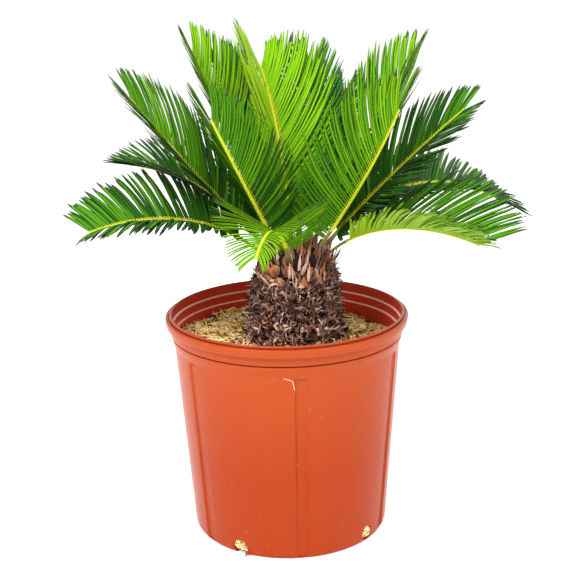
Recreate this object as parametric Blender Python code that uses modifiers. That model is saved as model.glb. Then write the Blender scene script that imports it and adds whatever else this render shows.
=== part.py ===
"""A sago palm in its nursery pot, in metres, +Z up.

The origin is the middle of the pot's flat underside. The filled pot carries a short armoured trunk, and a
crown of fronds rises from the trunk's woolly head. A frond is one rib with leaflets along both sides.
"""

import math
import random
from dataclasses import dataclass

import bpy
import bmesh
from mathutils import Matrix, Vector
from mathutils.bvhtree import BVHTree

GAP = 0.0003
SEED = 27

POT_STEPS = 48
RIM_Z = 0.256
RIM_RADIUS = 0.140
RIM_BAND = 0.0095
BEAD_RADIUS = 0.1356
BEAD_WIDTH = 0.0030
BEAD_RISE = 0.0032
COLLAR_RADIUS = 0.1343
COLLAR_WALL = 0.0035
COLLAR_BAND = 0.0102
GROOVE_RADIUS = 0.1316
GROOVE_BAND = 0.0018
SHOULDER_RADIUS = 0.1333
SHOULDER_Z = 0.2215
WALL_TOP_RADIUS = 0.1303
WALL_FOOT_RADIUS = 0.1140
WALL = 0.0028
FLOOR = 0.0040
EDGE = 0.0015
FLUTES = 6
FLUTE_TURN = 36.3
FLUTE_WIDTH = 0.012
FLUTE_DEPTH = 0.0014
DRAIN_TURNS = (29.7, 99.7, 169.7, 239.6, 319.7)
DRAIN_RADIUS = 0.0105
DRAIN_Z = 0.0060

TRUNK_X = 0.012
SOIL_Z = 0.2262
SOIL_FLAT = 0.066
SOIL_RINGS = (0.079, 0.096, 0.112)
TRUNK_SINK = 0.004
TRUNK_SIDES = 18
TRUNK_ROWS = 9
TRUNK_FOOT_RADIUS = 0.0500
TRUNK_TOP_RADIUS = 0.0400
TRUNK_FLARE = 0.0035
TRUNK_LEAN = 0.0015
ARMOUR_Z = 0.311
HEAD_Z = 0.341
HEAD_ROWS = 4
SCALE_OUT = 0.0065
SCALE_RISE = 0.0060
SCALE_TIP = 0.30

RIB_BASE_WIDTH = 0.0044
RIB_BASE_DEPTH = 0.0040
RIB_TIP_WIDTH = 0.0018
RIB_TIP_DEPTH = 0.0015
PETIOLE_STEPS = 2
PAIRS = 16
LEAF_TIP_WIDTH = 0.0040
LEAF_TIP_DEPTH = 0.0012
LEAF_CLEAR = 0.0005
LEAF_TRIES = (1.0, 0.72, 0.45)
LEAF_BASE_SHARE = 0.50
LEAF_TIP_SHARE = 0.38
SWEEP_TIP = 20.0
TRACK_STEPS = 80

TIERS = ((0.030, 0.316), (0.022, 0.322), (0.013, 0.328))


@dataclass(frozen=True)
class Frond:
    """One frond: angles in degrees, lengths in metres, tier 0 the lowest ring of the head."""

    name: str
    tier: int
    azimuth: float
    lift: float
    droop: float
    length: float
    leaf: float
    keel: float = 32.0
    roll: float = 0.0
    bend: float = 1.0
    swing: float = 0.0
    petiole: float = 0.16
    sweep: float = 66.0


FRONDS = (
    Frond("frond_front", 0, 261, 49, 68, 0.200, 0.082, 26, 0, 1.3, 2),
    Frond("frond_right_low", 0, 334, 55, 75, 0.172, 0.122, 28, 14, 0.8, 4),
    Frond("frond_left_low", 0, 190, 52, 72, 0.202, 0.106, 16, -15, 0.85, -2),
    Frond("frond_front_left", 1, 230, 57, -4, 0.196, 0.108, 34, 0, 1.2, -10),
    Frond("frond_front_right", 1, 318, 50, -13, 0.214, 0.116, 34, 0, 1.4, 0),
    Frond("frond_left", 1, 184, 46, -7, 0.240, 0.100, 30, -6, 1.0, -3),
    Frond("frond_right", 1, 4, 47, 8, 0.234, 0.090, 16, 20, 1.3, 2),
    Frond("frond_left_tall", 2, 158, 61, -6, 0.243, 0.102, 34, 0, 1.0, 4),
    Frond("frond_right_tall", 2, 20, 51, -14, 0.241, 0.115, 34, 0, 1.3, -6),
    Frond("frond_centre_tall", 2, 115, 84, 46, 0.227, 0.126, 34, 24, 1.4, 2, sweep=46),
    Frond("frond_left_arched", 0, 162, 56, 62, 0.212, 0.086, 18, -18, 1.3, -4),
    Frond("frond_right_arched", 0, 29, 52, 88, 0.286, 0.096, 12, 14, 1.0, -5),
    Frond("frond_back_tall", 2, 79, 64, 6, 0.230, 0.088, 30, 0, 1.2, 0, sweep=46),
    Frond("frond_back_left_tall", 1, 128, 67, 6, 0.241, 0.094, 32, 0, 1.2, 0, sweep=52),
    Frond("frond_back_right_tall", 1, 64, 55, 4, 0.200, 0.084, 32, 0, 1.2, 0, sweep=48),
    Frond("frond_back_left_low", 0, 128, 40, 50, 0.235, 0.082, 26, 0, 1.2, 0),
    Frond("frond_back_low", 0, 96, 42, 54, 0.235, 0.082, 26, 0, 1.2, 0),
    Frond("frond_back_right_low", 0, 62, 40, 50, 0.235, 0.082, 26, 0, 1.2, 0),
    Frond("frond_back", 1, 100, 50, 24, 0.230, 0.088, 30, 0, 1.2, 0),
)


@dataclass(frozen=True)
class Station:
    """A place on a rib: its point, the way along, the way across and the leaf face's normal."""

    point: Vector
    along: Vector
    across: Vector
    normal: Vector

    def corners(self, width, depth):
        """Return the four corners of a section of this width and depth."""
        signs = ((-1, -1), (1, -1), (1, 1), (-1, 1))
        half_w, half_d = self.across * width / 2, self.normal * depth / 2
        return [self.point + half_w * a + half_d * b for a, b in signs]


def clear_scene():
    """Remove every object, so that the model starts from an empty scene."""
    for item in list(bpy.data.objects):
        bpy.data.objects.remove(item, do_unlink=True)


def new_collection(name):
    """Return a new collection linked to the scene."""
    made = bpy.data.collections.new(name)
    bpy.context.scene.collection.children.link(made)
    return made


def new_material(name, colour, roughness):
    """Return a Principled material with a base colour and a roughness."""
    made = bpy.data.materials.new(name)
    made.use_nodes = True
    shader = made.node_tree.nodes["Principled BSDF"]
    shader.inputs["Base Color"].default_value = (*colour, 1.0)
    shader.inputs["Roughness"].default_value = roughness
    shader.inputs["Metallic"].default_value = 0.0
    return made


def add_object(name, bm, group, finish=None):
    """Turn a bmesh into a named object in a collection."""
    mesh = bpy.data.meshes.new(name)
    bm.to_mesh(mesh)
    bm.free()
    if finish:
        mesh.materials.append(finish)
    made = bpy.data.objects.new(name, mesh)
    group.objects.link(made)
    return made


def turned(name, profile, group, finish):
    """Screw a profile of radii and heights, which runs down its outer side, into a round solid."""
    bm = bmesh.new()
    points = [bm.verts.new((radius, 0.0, height)) for radius, height in profile]
    for first, second in zip(points, points[1:]):
        bm.edges.new((first, second))
    made = add_object(name, bm, group, finish)
    screw = made.modifiers.new("turn", "SCREW")
    screw.steps = POT_STEPS
    screw.render_steps = POT_STEPS
    screw.use_merge_vertices = True
    screw.merge_threshold = 0.00005
    screw.use_smooth_shade = False
    return made


def add_boolean(target, other, operation):
    """Add an exact Boolean that joins or cuts the target by another object."""
    step = target.modifiers.new(other.name, "BOOLEAN")
    step.operation = operation
    step.solver = "EXACT"
    step.object = other
    other.hide_render = True
    other.display_type = "WIRE"


def about_z(degrees):
    """Return the matrix of a turn about the upright axis."""
    return Matrix.Rotation(math.radians(degrees), 3, "Z")


def wall_radius(height):
    """Outer radius of the pot's plain wall at a height."""
    return WALL_FOOT_RADIUS + (WALL_TOP_RADIUS - WALL_FOOT_RADIUS) * height / SHOULDER_Z


def inner_radius(height):
    """Radius of the pot's inner wall at a height below the collar."""
    return wall_radius(height) - WALL


def pot_profile():
    """Section of the pot: from the floor's middle up the inside, over the rim and down the outside."""
    collar_top = RIM_Z - RIM_BAND
    collar_foot = collar_top - COLLAR_BAND
    groove_foot = collar_foot - GROOVE_BAND
    bead_top = RIM_Z + BEAD_RISE
    lip = BEAD_RADIUS - BEAD_WIDTH
    return (
        (0.0, FLOOR),
        (inner_radius(FLOOR), FLOOR),
        (inner_radius(SHOULDER_Z), SHOULDER_Z),
        (GROOVE_RADIUS - WALL, groove_foot),
        (GROOVE_RADIUS - WALL, collar_foot),
        (COLLAR_RADIUS - COLLAR_WALL, collar_foot + EDGE),
        (COLLAR_RADIUS - COLLAR_WALL, collar_top),
        (lip, collar_top + EDGE),
        (lip, bead_top - EDGE / 2),
        (lip + EDGE / 2, bead_top),
        (BEAD_RADIUS - EDGE / 2, bead_top),
        (BEAD_RADIUS, bead_top - EDGE / 2),
        (BEAD_RADIUS, RIM_Z),
        (RIM_RADIUS - EDGE, RIM_Z),
        (RIM_RADIUS, RIM_Z - EDGE),
        (RIM_RADIUS - EDGE, collar_top),
        (COLLAR_RADIUS, collar_top - EDGE),
        (COLLAR_RADIUS, collar_foot),
        (GROOVE_RADIUS, collar_foot),
        (GROOVE_RADIUS, groove_foot),
        (SHOULDER_RADIUS, groove_foot),
        (WALL_TOP_RADIUS + EDGE, (groove_foot + SHOULDER_Z) / 2),
        (WALL_TOP_RADIUS, SHOULDER_Z),
        (wall_radius(2 * EDGE), 2 * EDGE),
        (wall_radius(0.0) - 2 * EDGE, 0.0),
        (0.0, 0.0),
    )


def pot_flute(turn):
    """Return a bmesh of the space of one upright flute, which is pressed into the pot's wall."""
    top, foot = SHOULDER_Z - EDGE, -EDGE
    bm = bmesh.new()
    bmesh.ops.create_cube(bm, size=1.0)
    for vert in bm.verts:
        height = top if vert.co.z > 0 else foot
        reach = WALL if vert.co.x > 0 else -FLUTE_DEPTH
        vert.co = (wall_radius(height) + reach, vert.co.y * FLUTE_WIDTH, height)
    bmesh.ops.rotate(bm, verts=bm.verts, matrix=about_z(turn))
    return bm


def drain_bore(turn):
    """Return a bmesh of one round bore through the foot of the wall."""
    bm = bmesh.new()
    bmesh.ops.create_cone(
        bm, cap_ends=True, segments=16, radius1=DRAIN_RADIUS, radius2=DRAIN_RADIUS, depth=8 * WALL
    )
    bmesh.ops.rotate(bm, verts=bm.verts, matrix=Matrix.Rotation(math.radians(90), 3, "Y"))
    bmesh.ops.translate(bm, verts=bm.verts, vec=(wall_radius(DRAIN_Z), 0, DRAIN_Z))
    bmesh.ops.rotate(bm, verts=bm.verts, matrix=about_z(turn))
    return bm


def make_pot(parts, cutters):
    """Make the pot, with its beaded rim, collar, upright flutes and drain holes."""
    finish = new_material("terracotta_plastic", (0.62, 0.10, 0.035), 0.42)
    pot = turned("pot", pot_profile(), parts, finish)
    for index in range(FLUTES):
        flute = pot_flute(FLUTE_TURN + index * 360 / FLUTES)
        add_boolean(pot, add_object(f"flute_{index + 1}", flute, cutters), "DIFFERENCE")
    for index, turn in enumerate(DRAIN_TURNS, 1):
        add_boolean(pot, add_object(f"drain_{index}", drain_bore(turn), cutters), "DIFFERENCE")
    return pot


def soil_height(x, y):
    """Height of the fibre's surface: flat round the trunk, lower and lumpy towards the wall."""
    away = math.hypot(x - TRUNK_X, y)
    share = min(1.0, max(0.0, (away - SOIL_FLAT) / 0.05))
    lumps = 0.0022 * math.sin(61 * x + 1) * math.cos(53 * y) - 0.0018 * math.sin(90 * y + 2)
    return SOIL_Z + share * (lumps - 0.004 - 0.035 * x)


def baked(item, group, finish):
    """Replace an object with the mesh that its modifiers give."""
    name = item.name
    mesh = bpy.data.meshes.new_from_object(item.evaluated_get(bpy.context.evaluated_depsgraph_get()))
    bpy.data.objects.remove(item, do_unlink=True)
    mesh.name = name
    made = bpy.data.objects.new(name, mesh)
    group.objects.link(made)
    mesh.materials.clear()
    mesh.materials.append(finish)
    return made


def make_soil(parts, cutters):
    """Make the fibre that fills the pot, with a pocket that the trunk stands in."""
    finish = new_material("coco_fibre", (0.22, 0.13, 0.05), 0.95)
    rings = [(radius, SOIL_Z) for radius in (0.0, SOIL_FLAT, *SOIL_RINGS)]
    wall = [(inner_radius(height) - GAP, height) for height in (SOIL_Z, FLOOR + GAP)]
    soil = turned("soil", (*rings, *wall, (0.0, FLOOR + GAP)), parts, finish)
    soil = baked(soil, parts, finish)
    for vert in soil.data.vertices:
        if vert.co.z > SOIL_Z - GAP and vert.co.xy.length > SOIL_FLAT + GAP:
            height = soil_height(vert.co.x, vert.co.y)
            reach = vert.co.xy.length
            if reach > inner_radius(SOIL_Z) - 2 * GAP:
                reach = inner_radius(height) - GAP
            vert.co = (*(vert.co.xy.normalized() * reach), height)
    pocket = bmesh.new()
    radius = TRUNK_FOOT_RADIUS + TRUNK_FLARE + GAP
    bmesh.ops.create_cone(
        pocket, cap_ends=True, segments=TRUNK_SIDES, radius1=radius, radius2=radius, depth=2 * TRUNK_SINK
    )
    bmesh.ops.rotate(pocket, verts=pocket.verts, matrix=about_z(90))
    bmesh.ops.translate(pocket, verts=pocket.verts, vec=(TRUNK_X, 0, SOIL_Z - GAP))
    add_boolean(soil, add_object("trunk_pocket", pocket, cutters), "DIFFERENCE")
    return soil


def capped(bm):
    """Close the open foot of a column that was grown from one face, and turn its faces out."""
    bmesh.ops.holes_fill(bm, edges=[edge for edge in bm.edges if edge.is_boundary], sides=0)
    bmesh.ops.recalc_face_normals(bm, faces=bm.faces)


def grown(bm, face, corners):
    """Extrude one face of a bmesh and set its corners, in the face's own order."""
    tip = bmesh.ops.extrude_discrete_faces(bm, faces=[face])["faces"][0]
    for vert, corner in zip(tip.verts, corners):
        vert.co = corner
    return tip


def trunk_ring(share, radius, height, turn):
    """Return the points of one ring of the trunk, which leans a little."""
    centre = Vector((TRUNK_X - TRUNK_LEAN * share, 0.0, height))
    angles = [math.tau * (side + turn) / TRUNK_SIDES for side in range(TRUNK_SIDES)]
    return [centre + Vector((math.cos(angle), math.sin(angle), 0.0)) * radius for angle in angles]


def trunk_rings():
    """Return the trunk's rings: a flat-cut foot, the armoured column and the domed head."""
    foot = TRUNK_FOOT_RADIUS + TRUNK_FLARE
    start = SOIL_Z + 0.001
    rings = [trunk_ring(0, foot, SOIL_Z - TRUNK_SINK, 0), trunk_ring(0, foot, start, 0)]
    for row in range(1, TRUNK_ROWS + 1):
        share = row / TRUNK_ROWS
        radius = TRUNK_FOOT_RADIUS + (TRUNK_TOP_RADIUS - TRUNK_FOOT_RADIUS) * share ** 2
        radius += TRUNK_FLARE * (1 - share) ** 3
        rings.append(trunk_ring(share, radius, start + (ARMOUR_Z - start) * share, row / 2))
    for row in range(1, HEAD_ROWS + 1):
        angle = math.pi / 2 * row / (HEAD_ROWS + 0.6)
        height = ARMOUR_Z + (HEAD_Z - ARMOUR_Z) * math.sin(angle)
        rings.append(trunk_ring(1, TRUNK_TOP_RADIUS * math.cos(angle), height, TRUNK_ROWS / 2))
    return rings


def make_trunk(parts):
    """Make the trunk, armoured with the pointed stubs of old leaf bases in crossing spirals."""
    chance = random.Random(SEED)
    bm = bmesh.new()
    bmesh.ops.create_circle(bm, cap_ends=True, segments=TRUNK_SIDES, radius=1.0)
    face = next(iter(bm.faces))
    rings = trunk_rings()
    for vert, point in zip(face.verts, rings[0]):
        vert.co = point
    rows = []
    for ring in rings[1:]:
        before = set(bm.faces)
        face = grown(bm, face, ring)
        rows.append([item for item in bm.faces if item not in before and item != face])
    for row in rows[1 : TRUNK_ROWS + 1]:
        for side in bmesh.ops.extrude_discrete_faces(bm, faces=row)["faces"]:
            middle = side.calc_center_median()
            out = Vector((middle.x - TRUNK_X, middle.y, 0.0)).normalized()
            size = chance.uniform(0.75, 1.25)
            shift = (out * SCALE_OUT + Vector((0, 0, SCALE_RISE))) * size
            for vert in side.verts:
                vert.co = middle + (vert.co - middle) * SCALE_TIP + shift
    capped(bm)
    return add_object("trunk", bm, parts, new_material("leaf_base_bark", (0.12, 0.07, 0.04), 0.9))


def rib_track(frond):
    """Return the stations of a frond's rib, from inside the head to the last pair of leaflets."""
    radius, height = TIERS[frond.tier]
    start = math.radians(frond.azimuth)
    point = Vector((TRUNK_X + radius * math.cos(start), radius * math.sin(start), height))
    track = []
    for step in range(TRACK_STEPS + 1):
        share = step / TRACK_STEPS
        turn = math.radians(frond.azimuth + frond.swing * share)
        lift = math.radians(frond.lift - frond.droop * share ** frond.bend)
        level = Vector((math.cos(turn), math.sin(turn), 0.0))
        along = level * math.cos(lift) + Vector((0, 0, math.sin(lift)))
        across = Vector((-level.y, level.x, 0.0))
        normal = along.cross(across)
        roll = Matrix.Rotation(math.radians(frond.roll), 3, along)
        track.append(Station(point.copy(), along, roll @ across, roll @ normal))
        point += along * frond.length / TRACK_STEPS
    return track


def station_at(track, share):
    """Return the station at a share of the way along a rib."""
    place = min(max(share, 0.0), 1.0) * TRACK_STEPS
    index = min(int(place), TRACK_STEPS - 1)
    first, second, part = track[index], track[index + 1], place - index
    return Station(
        first.point.lerp(second.point, part),
        first.along.lerp(second.along, part).normalized(),
        first.across.lerp(second.across, part).normalized(),
        first.normal.lerp(second.normal, part).normalized(),
    )


def rib_corners(track, share):
    """Return the four corners of a rib's section at a share of its length."""
    width = RIB_BASE_WIDTH + (RIB_TIP_WIDTH - RIB_BASE_WIDTH) * share
    depth = RIB_BASE_DEPTH + (RIB_TIP_DEPTH - RIB_BASE_DEPTH) * share
    return station_at(track, share).corners(width, depth)


def clearance(point, tree):
    """Return how far a point stands outside a closed surface, or a negative depth inside it."""
    near, normal, _, distance = tree.find_nearest(point)
    return math.copysign(distance, (point - near).dot(normal))


def rib_start(track, trunk_tree):
    """Return the share of a rib's length at which its section stands clear of the trunk's head."""
    shares = [step / (TRACK_STEPS * 16) for step in range(TRACK_STEPS * 8)]
    for share in shares:
        if min(clearance(corner, trunk_tree) for corner in rib_corners(track, share)) > GAP * 1.1:
            return share
    return shares[-1]


def rib_shares(frond, start):
    """Return the shares of a rib's length where its sections stand."""
    petiole = max(frond.petiole, start + 0.05)
    stalk = [start + (petiole - start) * step / PETIOLE_STEPS for step in range(PETIOLE_STEPS)]
    return stalk + [petiole + (1 - petiole) * step / PAIRS for step in range(PAIRS + 1)]


def rib_bmesh(track, shares):
    """Return the rib as a bmesh, with the side faces of its leafy stretch, in pairs from the foot."""
    bm = bmesh.new()
    bmesh.ops.create_circle(bm, cap_ends=True, segments=4, radius=1.0)
    face = next(iter(bm.faces))
    for vert, corner in zip(face.verts, rib_corners(track, shares[0])):
        vert.co = corner
    sides = []
    for share in shares[1:]:
        last = list(face.verts)
        before = [bm.edges.get((last[a], last[b])) for a, b in ((1, 2), (3, 0))]
        face = grown(bm, face, rib_corners(track, share))
        sides.append([next(f for f in edge.link_faces if f != face) for edge in before])
    return bm, sides[PETIOLE_STEPS:]


def leaf_share(place):
    """Return a leaflet's share of the longest length at a place from the first pair to the last."""
    swell = min(1.0, LEAF_BASE_SHARE + 1.7 * place)
    taper = max(0.0, (place - 0.5) / 0.5) ** 1.4
    return swell * (1 - (1 - LEAF_TIP_SHARE) * taper)


def leaf_way(station, frond, place, side, turn):
    """Return the direction of a leaflet on one side of the rib."""
    sweep = math.radians(frond.sweep + (SWEEP_TIP - frond.sweep) * place ** 0.8 + turn)
    keel = math.radians(frond.keel)
    out = station.across * side * math.cos(keel) + station.normal * math.sin(keel)
    return (station.along * math.cos(sweep) + out * math.sin(sweep)).normalized()


def leaf_tip(face, station, way, length):
    """Return the corners of a leaflet's blunt tip, in the order of the face it grows from."""
    middle = face.calc_center_median()
    blade = (station.along - way * station.along.dot(way)).normalized()
    flat = way.cross(blade)
    if flat.dot(station.normal) < 0:
        flat = -flat
    corners = []
    for vert in face.verts:
        offset = vert.co - middle
        fore = math.copysign(LEAF_TIP_WIDTH / 2, offset.dot(station.along))
        over = math.copysign(LEAF_TIP_DEPTH / 2, offset.dot(station.normal))
        corners.append(middle + way * length + blade * fore + flat * over)
    return corners


def hull_tree(face, corners, way):
    """Return a search tree of a leaflet's sides, swollen so that leaflets keep clear of each other."""
    foot = [vert.co.copy() for vert in face.verts]
    foot_middle, tip_middle = (sum(ring, Vector()) / 4 for ring in (foot, corners))
    swell = 1 + 2 * LEAF_CLEAR / LEAF_TIP_DEPTH
    points = [foot_middle + (corner - foot_middle) * 1.1 + way * 4 * LEAF_CLEAR for corner in foot]
    points += [tip_middle + (corner - tip_middle) * swell + way * LEAF_CLEAR for corner in corners]
    sides = [(a, (a + 1) % 4, 4 + (a + 1) % 4, 4 + a) for a in range(4)]
    return BVHTree.FromPolygons(points, [*sides, (0, 1, 2, 3), (4, 5, 6, 7)])


def add_leaflets(bm, sides, frond, track, shares, others):
    """Extrude the leaflets of a rib, shortening or skipping one that would touch its neighbours."""
    chance = random.Random(frond.name)
    leafy = shares[PETIOLE_STEPS:]
    for index, pair in enumerate(sides):
        place = (index + 0.5) / PAIRS
        station = station_at(track, (leafy[index] + leafy[index + 1]) / 2)
        for side, face in zip((1, -1), pair):
            way = leaf_way(station, frond, place, side, chance.uniform(-3, 3))
            longest = frond.leaf * leaf_share(place) * chance.uniform(0.94, 1.04)
            for share in LEAF_TRIES:
                corners = leaf_tip(face, station, way, longest * share)
                shape = hull_tree(face, corners, way)
                if not any(shape.overlap(other) for other in others):
                    grown(bm, face, corners)
                    break


def object_tree(item):
    """Return a search tree of an object's evaluated mesh."""
    graph = bpy.context.evaluated_depsgraph_get()
    return BVHTree.FromObject(item, graph)


def make_fronds(parts, trunk, solids):
    """Make every frond clear of the trunk, the pot and the fronds made before it."""
    trunk_tree = object_tree(trunk)
    fixed = [object_tree(solid) for solid in solids]
    tracks = {frond: rib_track(frond) for frond in FRONDS}
    shares = {frond: rib_shares(frond, rib_start(tracks[frond], trunk_tree)) for frond in FRONDS}
    trees = {}
    for frond in FRONDS:
        rib, _ = rib_bmesh(tracks[frond], shares[frond])
        trees[frond] = BVHTree.FromBMesh(rib)
        rib.free()
    finish = new_material("frond_green", (0.17, 0.30, 0.05), 0.5)
    for frond in FRONDS:
        bm, sides = rib_bmesh(tracks[frond], shares[frond])
        others = [trunk_tree, *fixed, *(tree for other, tree in trees.items() if other != frond)]
        add_leaflets(bm, sides, frond, tracks[frond], shares[frond], others)
        capped(bm)
        trees[frond] = BVHTree.FromBMesh(bm)
        add_object(frond.name, bm, parts, finish)


def main():
    """Build the pot, its fibre, the trunk and the crown."""
    clear_scene()
    parts = new_collection("sago_palm")
    cutters = new_collection("cutters")
    pot = make_pot(parts, cutters)
    soil = make_soil(parts, cutters)
    trunk = make_trunk(parts)
    make_fronds(parts, trunk, [pot, soil])


main()
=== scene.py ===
"""A potted sago palm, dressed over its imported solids.

The pot, its fibre, the armoured trunk and every frond are built here in metres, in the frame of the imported
model. The fronds follow the same rule as the solids, carried on to fine leaflets.
"""

import logging
import math
import random
from dataclasses import dataclass, field
from enum import Enum
from typing import Iterable, Sequence

import bpy
import bmesh
import numpy as np
from mathutils import Matrix, Vector, noise
from mathutils.bvhtree import BVHTree


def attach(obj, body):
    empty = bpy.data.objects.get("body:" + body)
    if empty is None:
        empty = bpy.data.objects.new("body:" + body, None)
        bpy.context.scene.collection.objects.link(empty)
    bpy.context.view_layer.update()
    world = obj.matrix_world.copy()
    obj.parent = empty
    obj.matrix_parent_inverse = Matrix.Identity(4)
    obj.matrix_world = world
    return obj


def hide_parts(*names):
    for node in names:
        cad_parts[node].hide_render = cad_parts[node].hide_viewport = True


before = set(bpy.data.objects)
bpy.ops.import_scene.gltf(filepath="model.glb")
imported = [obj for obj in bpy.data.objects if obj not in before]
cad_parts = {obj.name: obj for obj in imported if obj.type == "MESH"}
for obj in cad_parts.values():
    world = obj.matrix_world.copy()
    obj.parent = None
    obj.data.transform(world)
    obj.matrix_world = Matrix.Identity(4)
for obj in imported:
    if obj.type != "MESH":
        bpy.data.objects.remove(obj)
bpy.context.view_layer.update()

LOG = logging.getLogger("sago_palm")
PHOTO_SIDE = 576

TRUNK_X = 0.012
SOIL_Z = 0.2262
ARMOUR_Z = 0.311
HEAD_Z = 0.341

Colour = tuple[float, float, float]
Range = tuple[float, float]
Stand = tuple[Vector, Vector, Vector, Vector]


class Side(Enum):
    """The two sides of a rib, as seen from its foot to its tip."""

    LEFT = 1
    RIGHT = -1


class Tint(Enum):
    """The greens that are dealt out to the leaflets, one plain colour each, one of them painted light."""

    LIME = (0.160, 0.375, 0.003)
    FRESH = (0.095, 0.285, 0.003)
    LEAF = (0.055, 0.200, 0.004)
    DEEP = (0.020, 0.090, 0.005)
    BLUE = (0.040, 0.190, 0.038)
    GOLD = (0.400, 0.410, 0.012)
    # Painted light: a brighter golden lime standing for the light that shines through the near rows of some
    # fronds.
    GLOW = (0.225, 0.405, 0.010)
    DRY = (0.042, 0.052, 0.032)


@dataclass(frozen=True)
class Field:
    """A number socket whose arithmetic adds Math nodes to its tree."""

    tree: bpy.types.NodeTree
    socket: bpy.types.NodeSocket

    def math(self, operation: str, left: "Field | float", right: "Field | float" = 0.0) -> "Field":
        """Add one Math node.

        Args:
            operation: The Math node's operation.
            left: Its first value.
            right: Its second value.

        Returns:
            The node's output.
        """
        made = self.tree.nodes.new("ShaderNodeMath")
        made.operation = operation
        for slot, value in zip(made.inputs, (left, right)):
            if isinstance(value, Field):
                self.tree.links.new(value.socket, slot)
            else:
                slot.default_value = value
        return Field(self.tree, made.outputs[0])

    def __add__(self, other: "Field | float") -> "Field":
        """Add a value."""
        return self.math("ADD", self, other)

    def __radd__(self, other: float) -> "Field":
        """Add this to a number."""
        return self.math("ADD", other, self)

    def __sub__(self, other: "Field | float") -> "Field":
        """Subtract a value."""
        return self.math("SUBTRACT", self, other)

    def __rsub__(self, other: float) -> "Field":
        """Subtract this from a number."""
        return self.math("SUBTRACT", other, self)

    def __mul__(self, other: "Field | float") -> "Field":
        """Multiply by a value."""
        return self.math("MULTIPLY", self, other)

    def __rmul__(self, other: float) -> "Field":
        """Multiply a number by this."""
        return self.math("MULTIPLY", other, self)

    def __pow__(self, other: "Field | float") -> "Field":
        """Raise to a power."""
        return self.math("POWER", self, other)


class Graph:
    """The node tree of one material, with one method that adds any node."""

    def __init__(self, name: str) -> None:
        """Start a material with its Principled shader.

        Args:
            name: The material's name.
        """
        self.material = bpy.data.materials.new(name)
        self.material.use_nodes = True
        self.tree = self.material.node_tree
        self.shader = self.tree.nodes["Principled BSDF"]

    def plug(self, slot: bpy.types.NodeSocket, value: object) -> None:
        """Set or link one socket.

        Args:
            slot: The input socket.
            value: A number, a colour, a Field or an output socket.
        """
        if isinstance(value, Field):
            self.tree.links.new(value.socket, slot)
        elif isinstance(value, bpy.types.NodeSocket):
            self.tree.links.new(value, slot)
        elif isinstance(value, tuple) and len(value) == 3 and slot.type == "RGBA":
            slot.default_value = (*value, 1.0)
        else:
            slot.default_value = value

    def node(self, kind: str, settings: dict[str, object], values: dict[object, object]) -> bpy.types.Node:
        """Add one node.

        Args:
            kind: The node's type without its ShaderNode prefix.
            settings: Properties set first; ramp stops go under the key stops.
            values: Socket names or numbers, each with its value or link.

        Returns:
            The new node.
        """
        made = self.tree.nodes.new(f"ShaderNode{kind}")
        for key, value in settings.items():
            if key == "stops":
                self.set_stops(made, value)
            else:
                setattr(made, key, value)
        for key, value in values.items():
            self.plug(made.inputs[key], value)
        return made

    @staticmethod
    def set_stops(ramp: bpy.types.Node, stops: Sequence[tuple[float, Colour]]) -> None:
        """Set a colour ramp's stops.

        Args:
            ramp: The ramp node.
            stops: Places and colours in order.
        """
        elements = ramp.color_ramp.elements
        while len(elements) < len(stops):
            elements.new(0.5)
        for element, (place, colour) in zip(elements, stops):
            element.position = place
            element.color = (*colour, 1.0)

    def field(self, node: bpy.types.Node, output: object = 0) -> Field:
        """Wrap a node's output for arithmetic."""
        return Field(self.tree, node.outputs[output])

    def noise(self, scale: float, detail: float = 2.0, stretch: Colour = (1.0, 1.0, 1.0)) -> Field:
        """Add a noise on object coordinates.

        Args:
            scale: Features for each metre.
            detail: Octaves.
            stretch: Scale along each axis.

        Returns:
            The noise value from 0 to 1.
        """
        where = self.node("TexCoord", {}, {}).outputs["Object"]
        placed = self.node("Mapping", {}, {"Vector": where, "Scale": stretch}).outputs[0]
        return self.field(self.node("TexNoise", {}, {"Vector": placed, "Scale": scale, "Detail": detail}))

    def height(self) -> Field:
        """Give the height over the floor from the object coordinates."""
        where = self.node("TexCoord", {}, {}).outputs["Object"]
        return self.field(self.node("SeparateXYZ", {}, {"Vector": where}), "Z")

    def ramp(self, value: Field, low: float, high: float) -> Field:
        """Map a value to 0 at a low end and 1 at a high end."""
        span = self.node("MapRange", {}, {"Value": value, "From Min": low, "From Max": high})
        return self.field(span)

    def blend(self, factor: Field | float, first: object, second: object) -> bpy.types.NodeSocket:
        """Mix two colours.

        Args:
            factor: Share of the second colour.
            first: A colour or a colour socket.
            second: A colour or a colour socket.

        Returns:
            The mixed colour socket.
        """
        mixed = self.node("Mix", {"data_type": "RGBA"}, {0: factor, 6: first, 7: second})
        return mixed.outputs[2]

    def bump(self, height: Field, strength: float, distance: float) -> bpy.types.NodeSocket:
        """Add a bump from a height.

        Args:
            height: The height field.
            strength: How strongly it shows.
            distance: Its depth in metres.

        Returns:
            The normal socket.
        """
        made = self.node("Bump", {}, {"Height": height, "Strength": strength, "Distance": distance})
        return made.outputs["Normal"]

    def dress(self, **values: object) -> bpy.types.Material:
        """Set the shader's sockets, named with underscores for spaces.

        Args:
            **values: Socket values or links.

        Returns:
            The finished material.
        """
        for key, value in values.items():
            self.plug(self.shader.inputs[key.replace("_", " ")], value)
        return self.material


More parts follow.
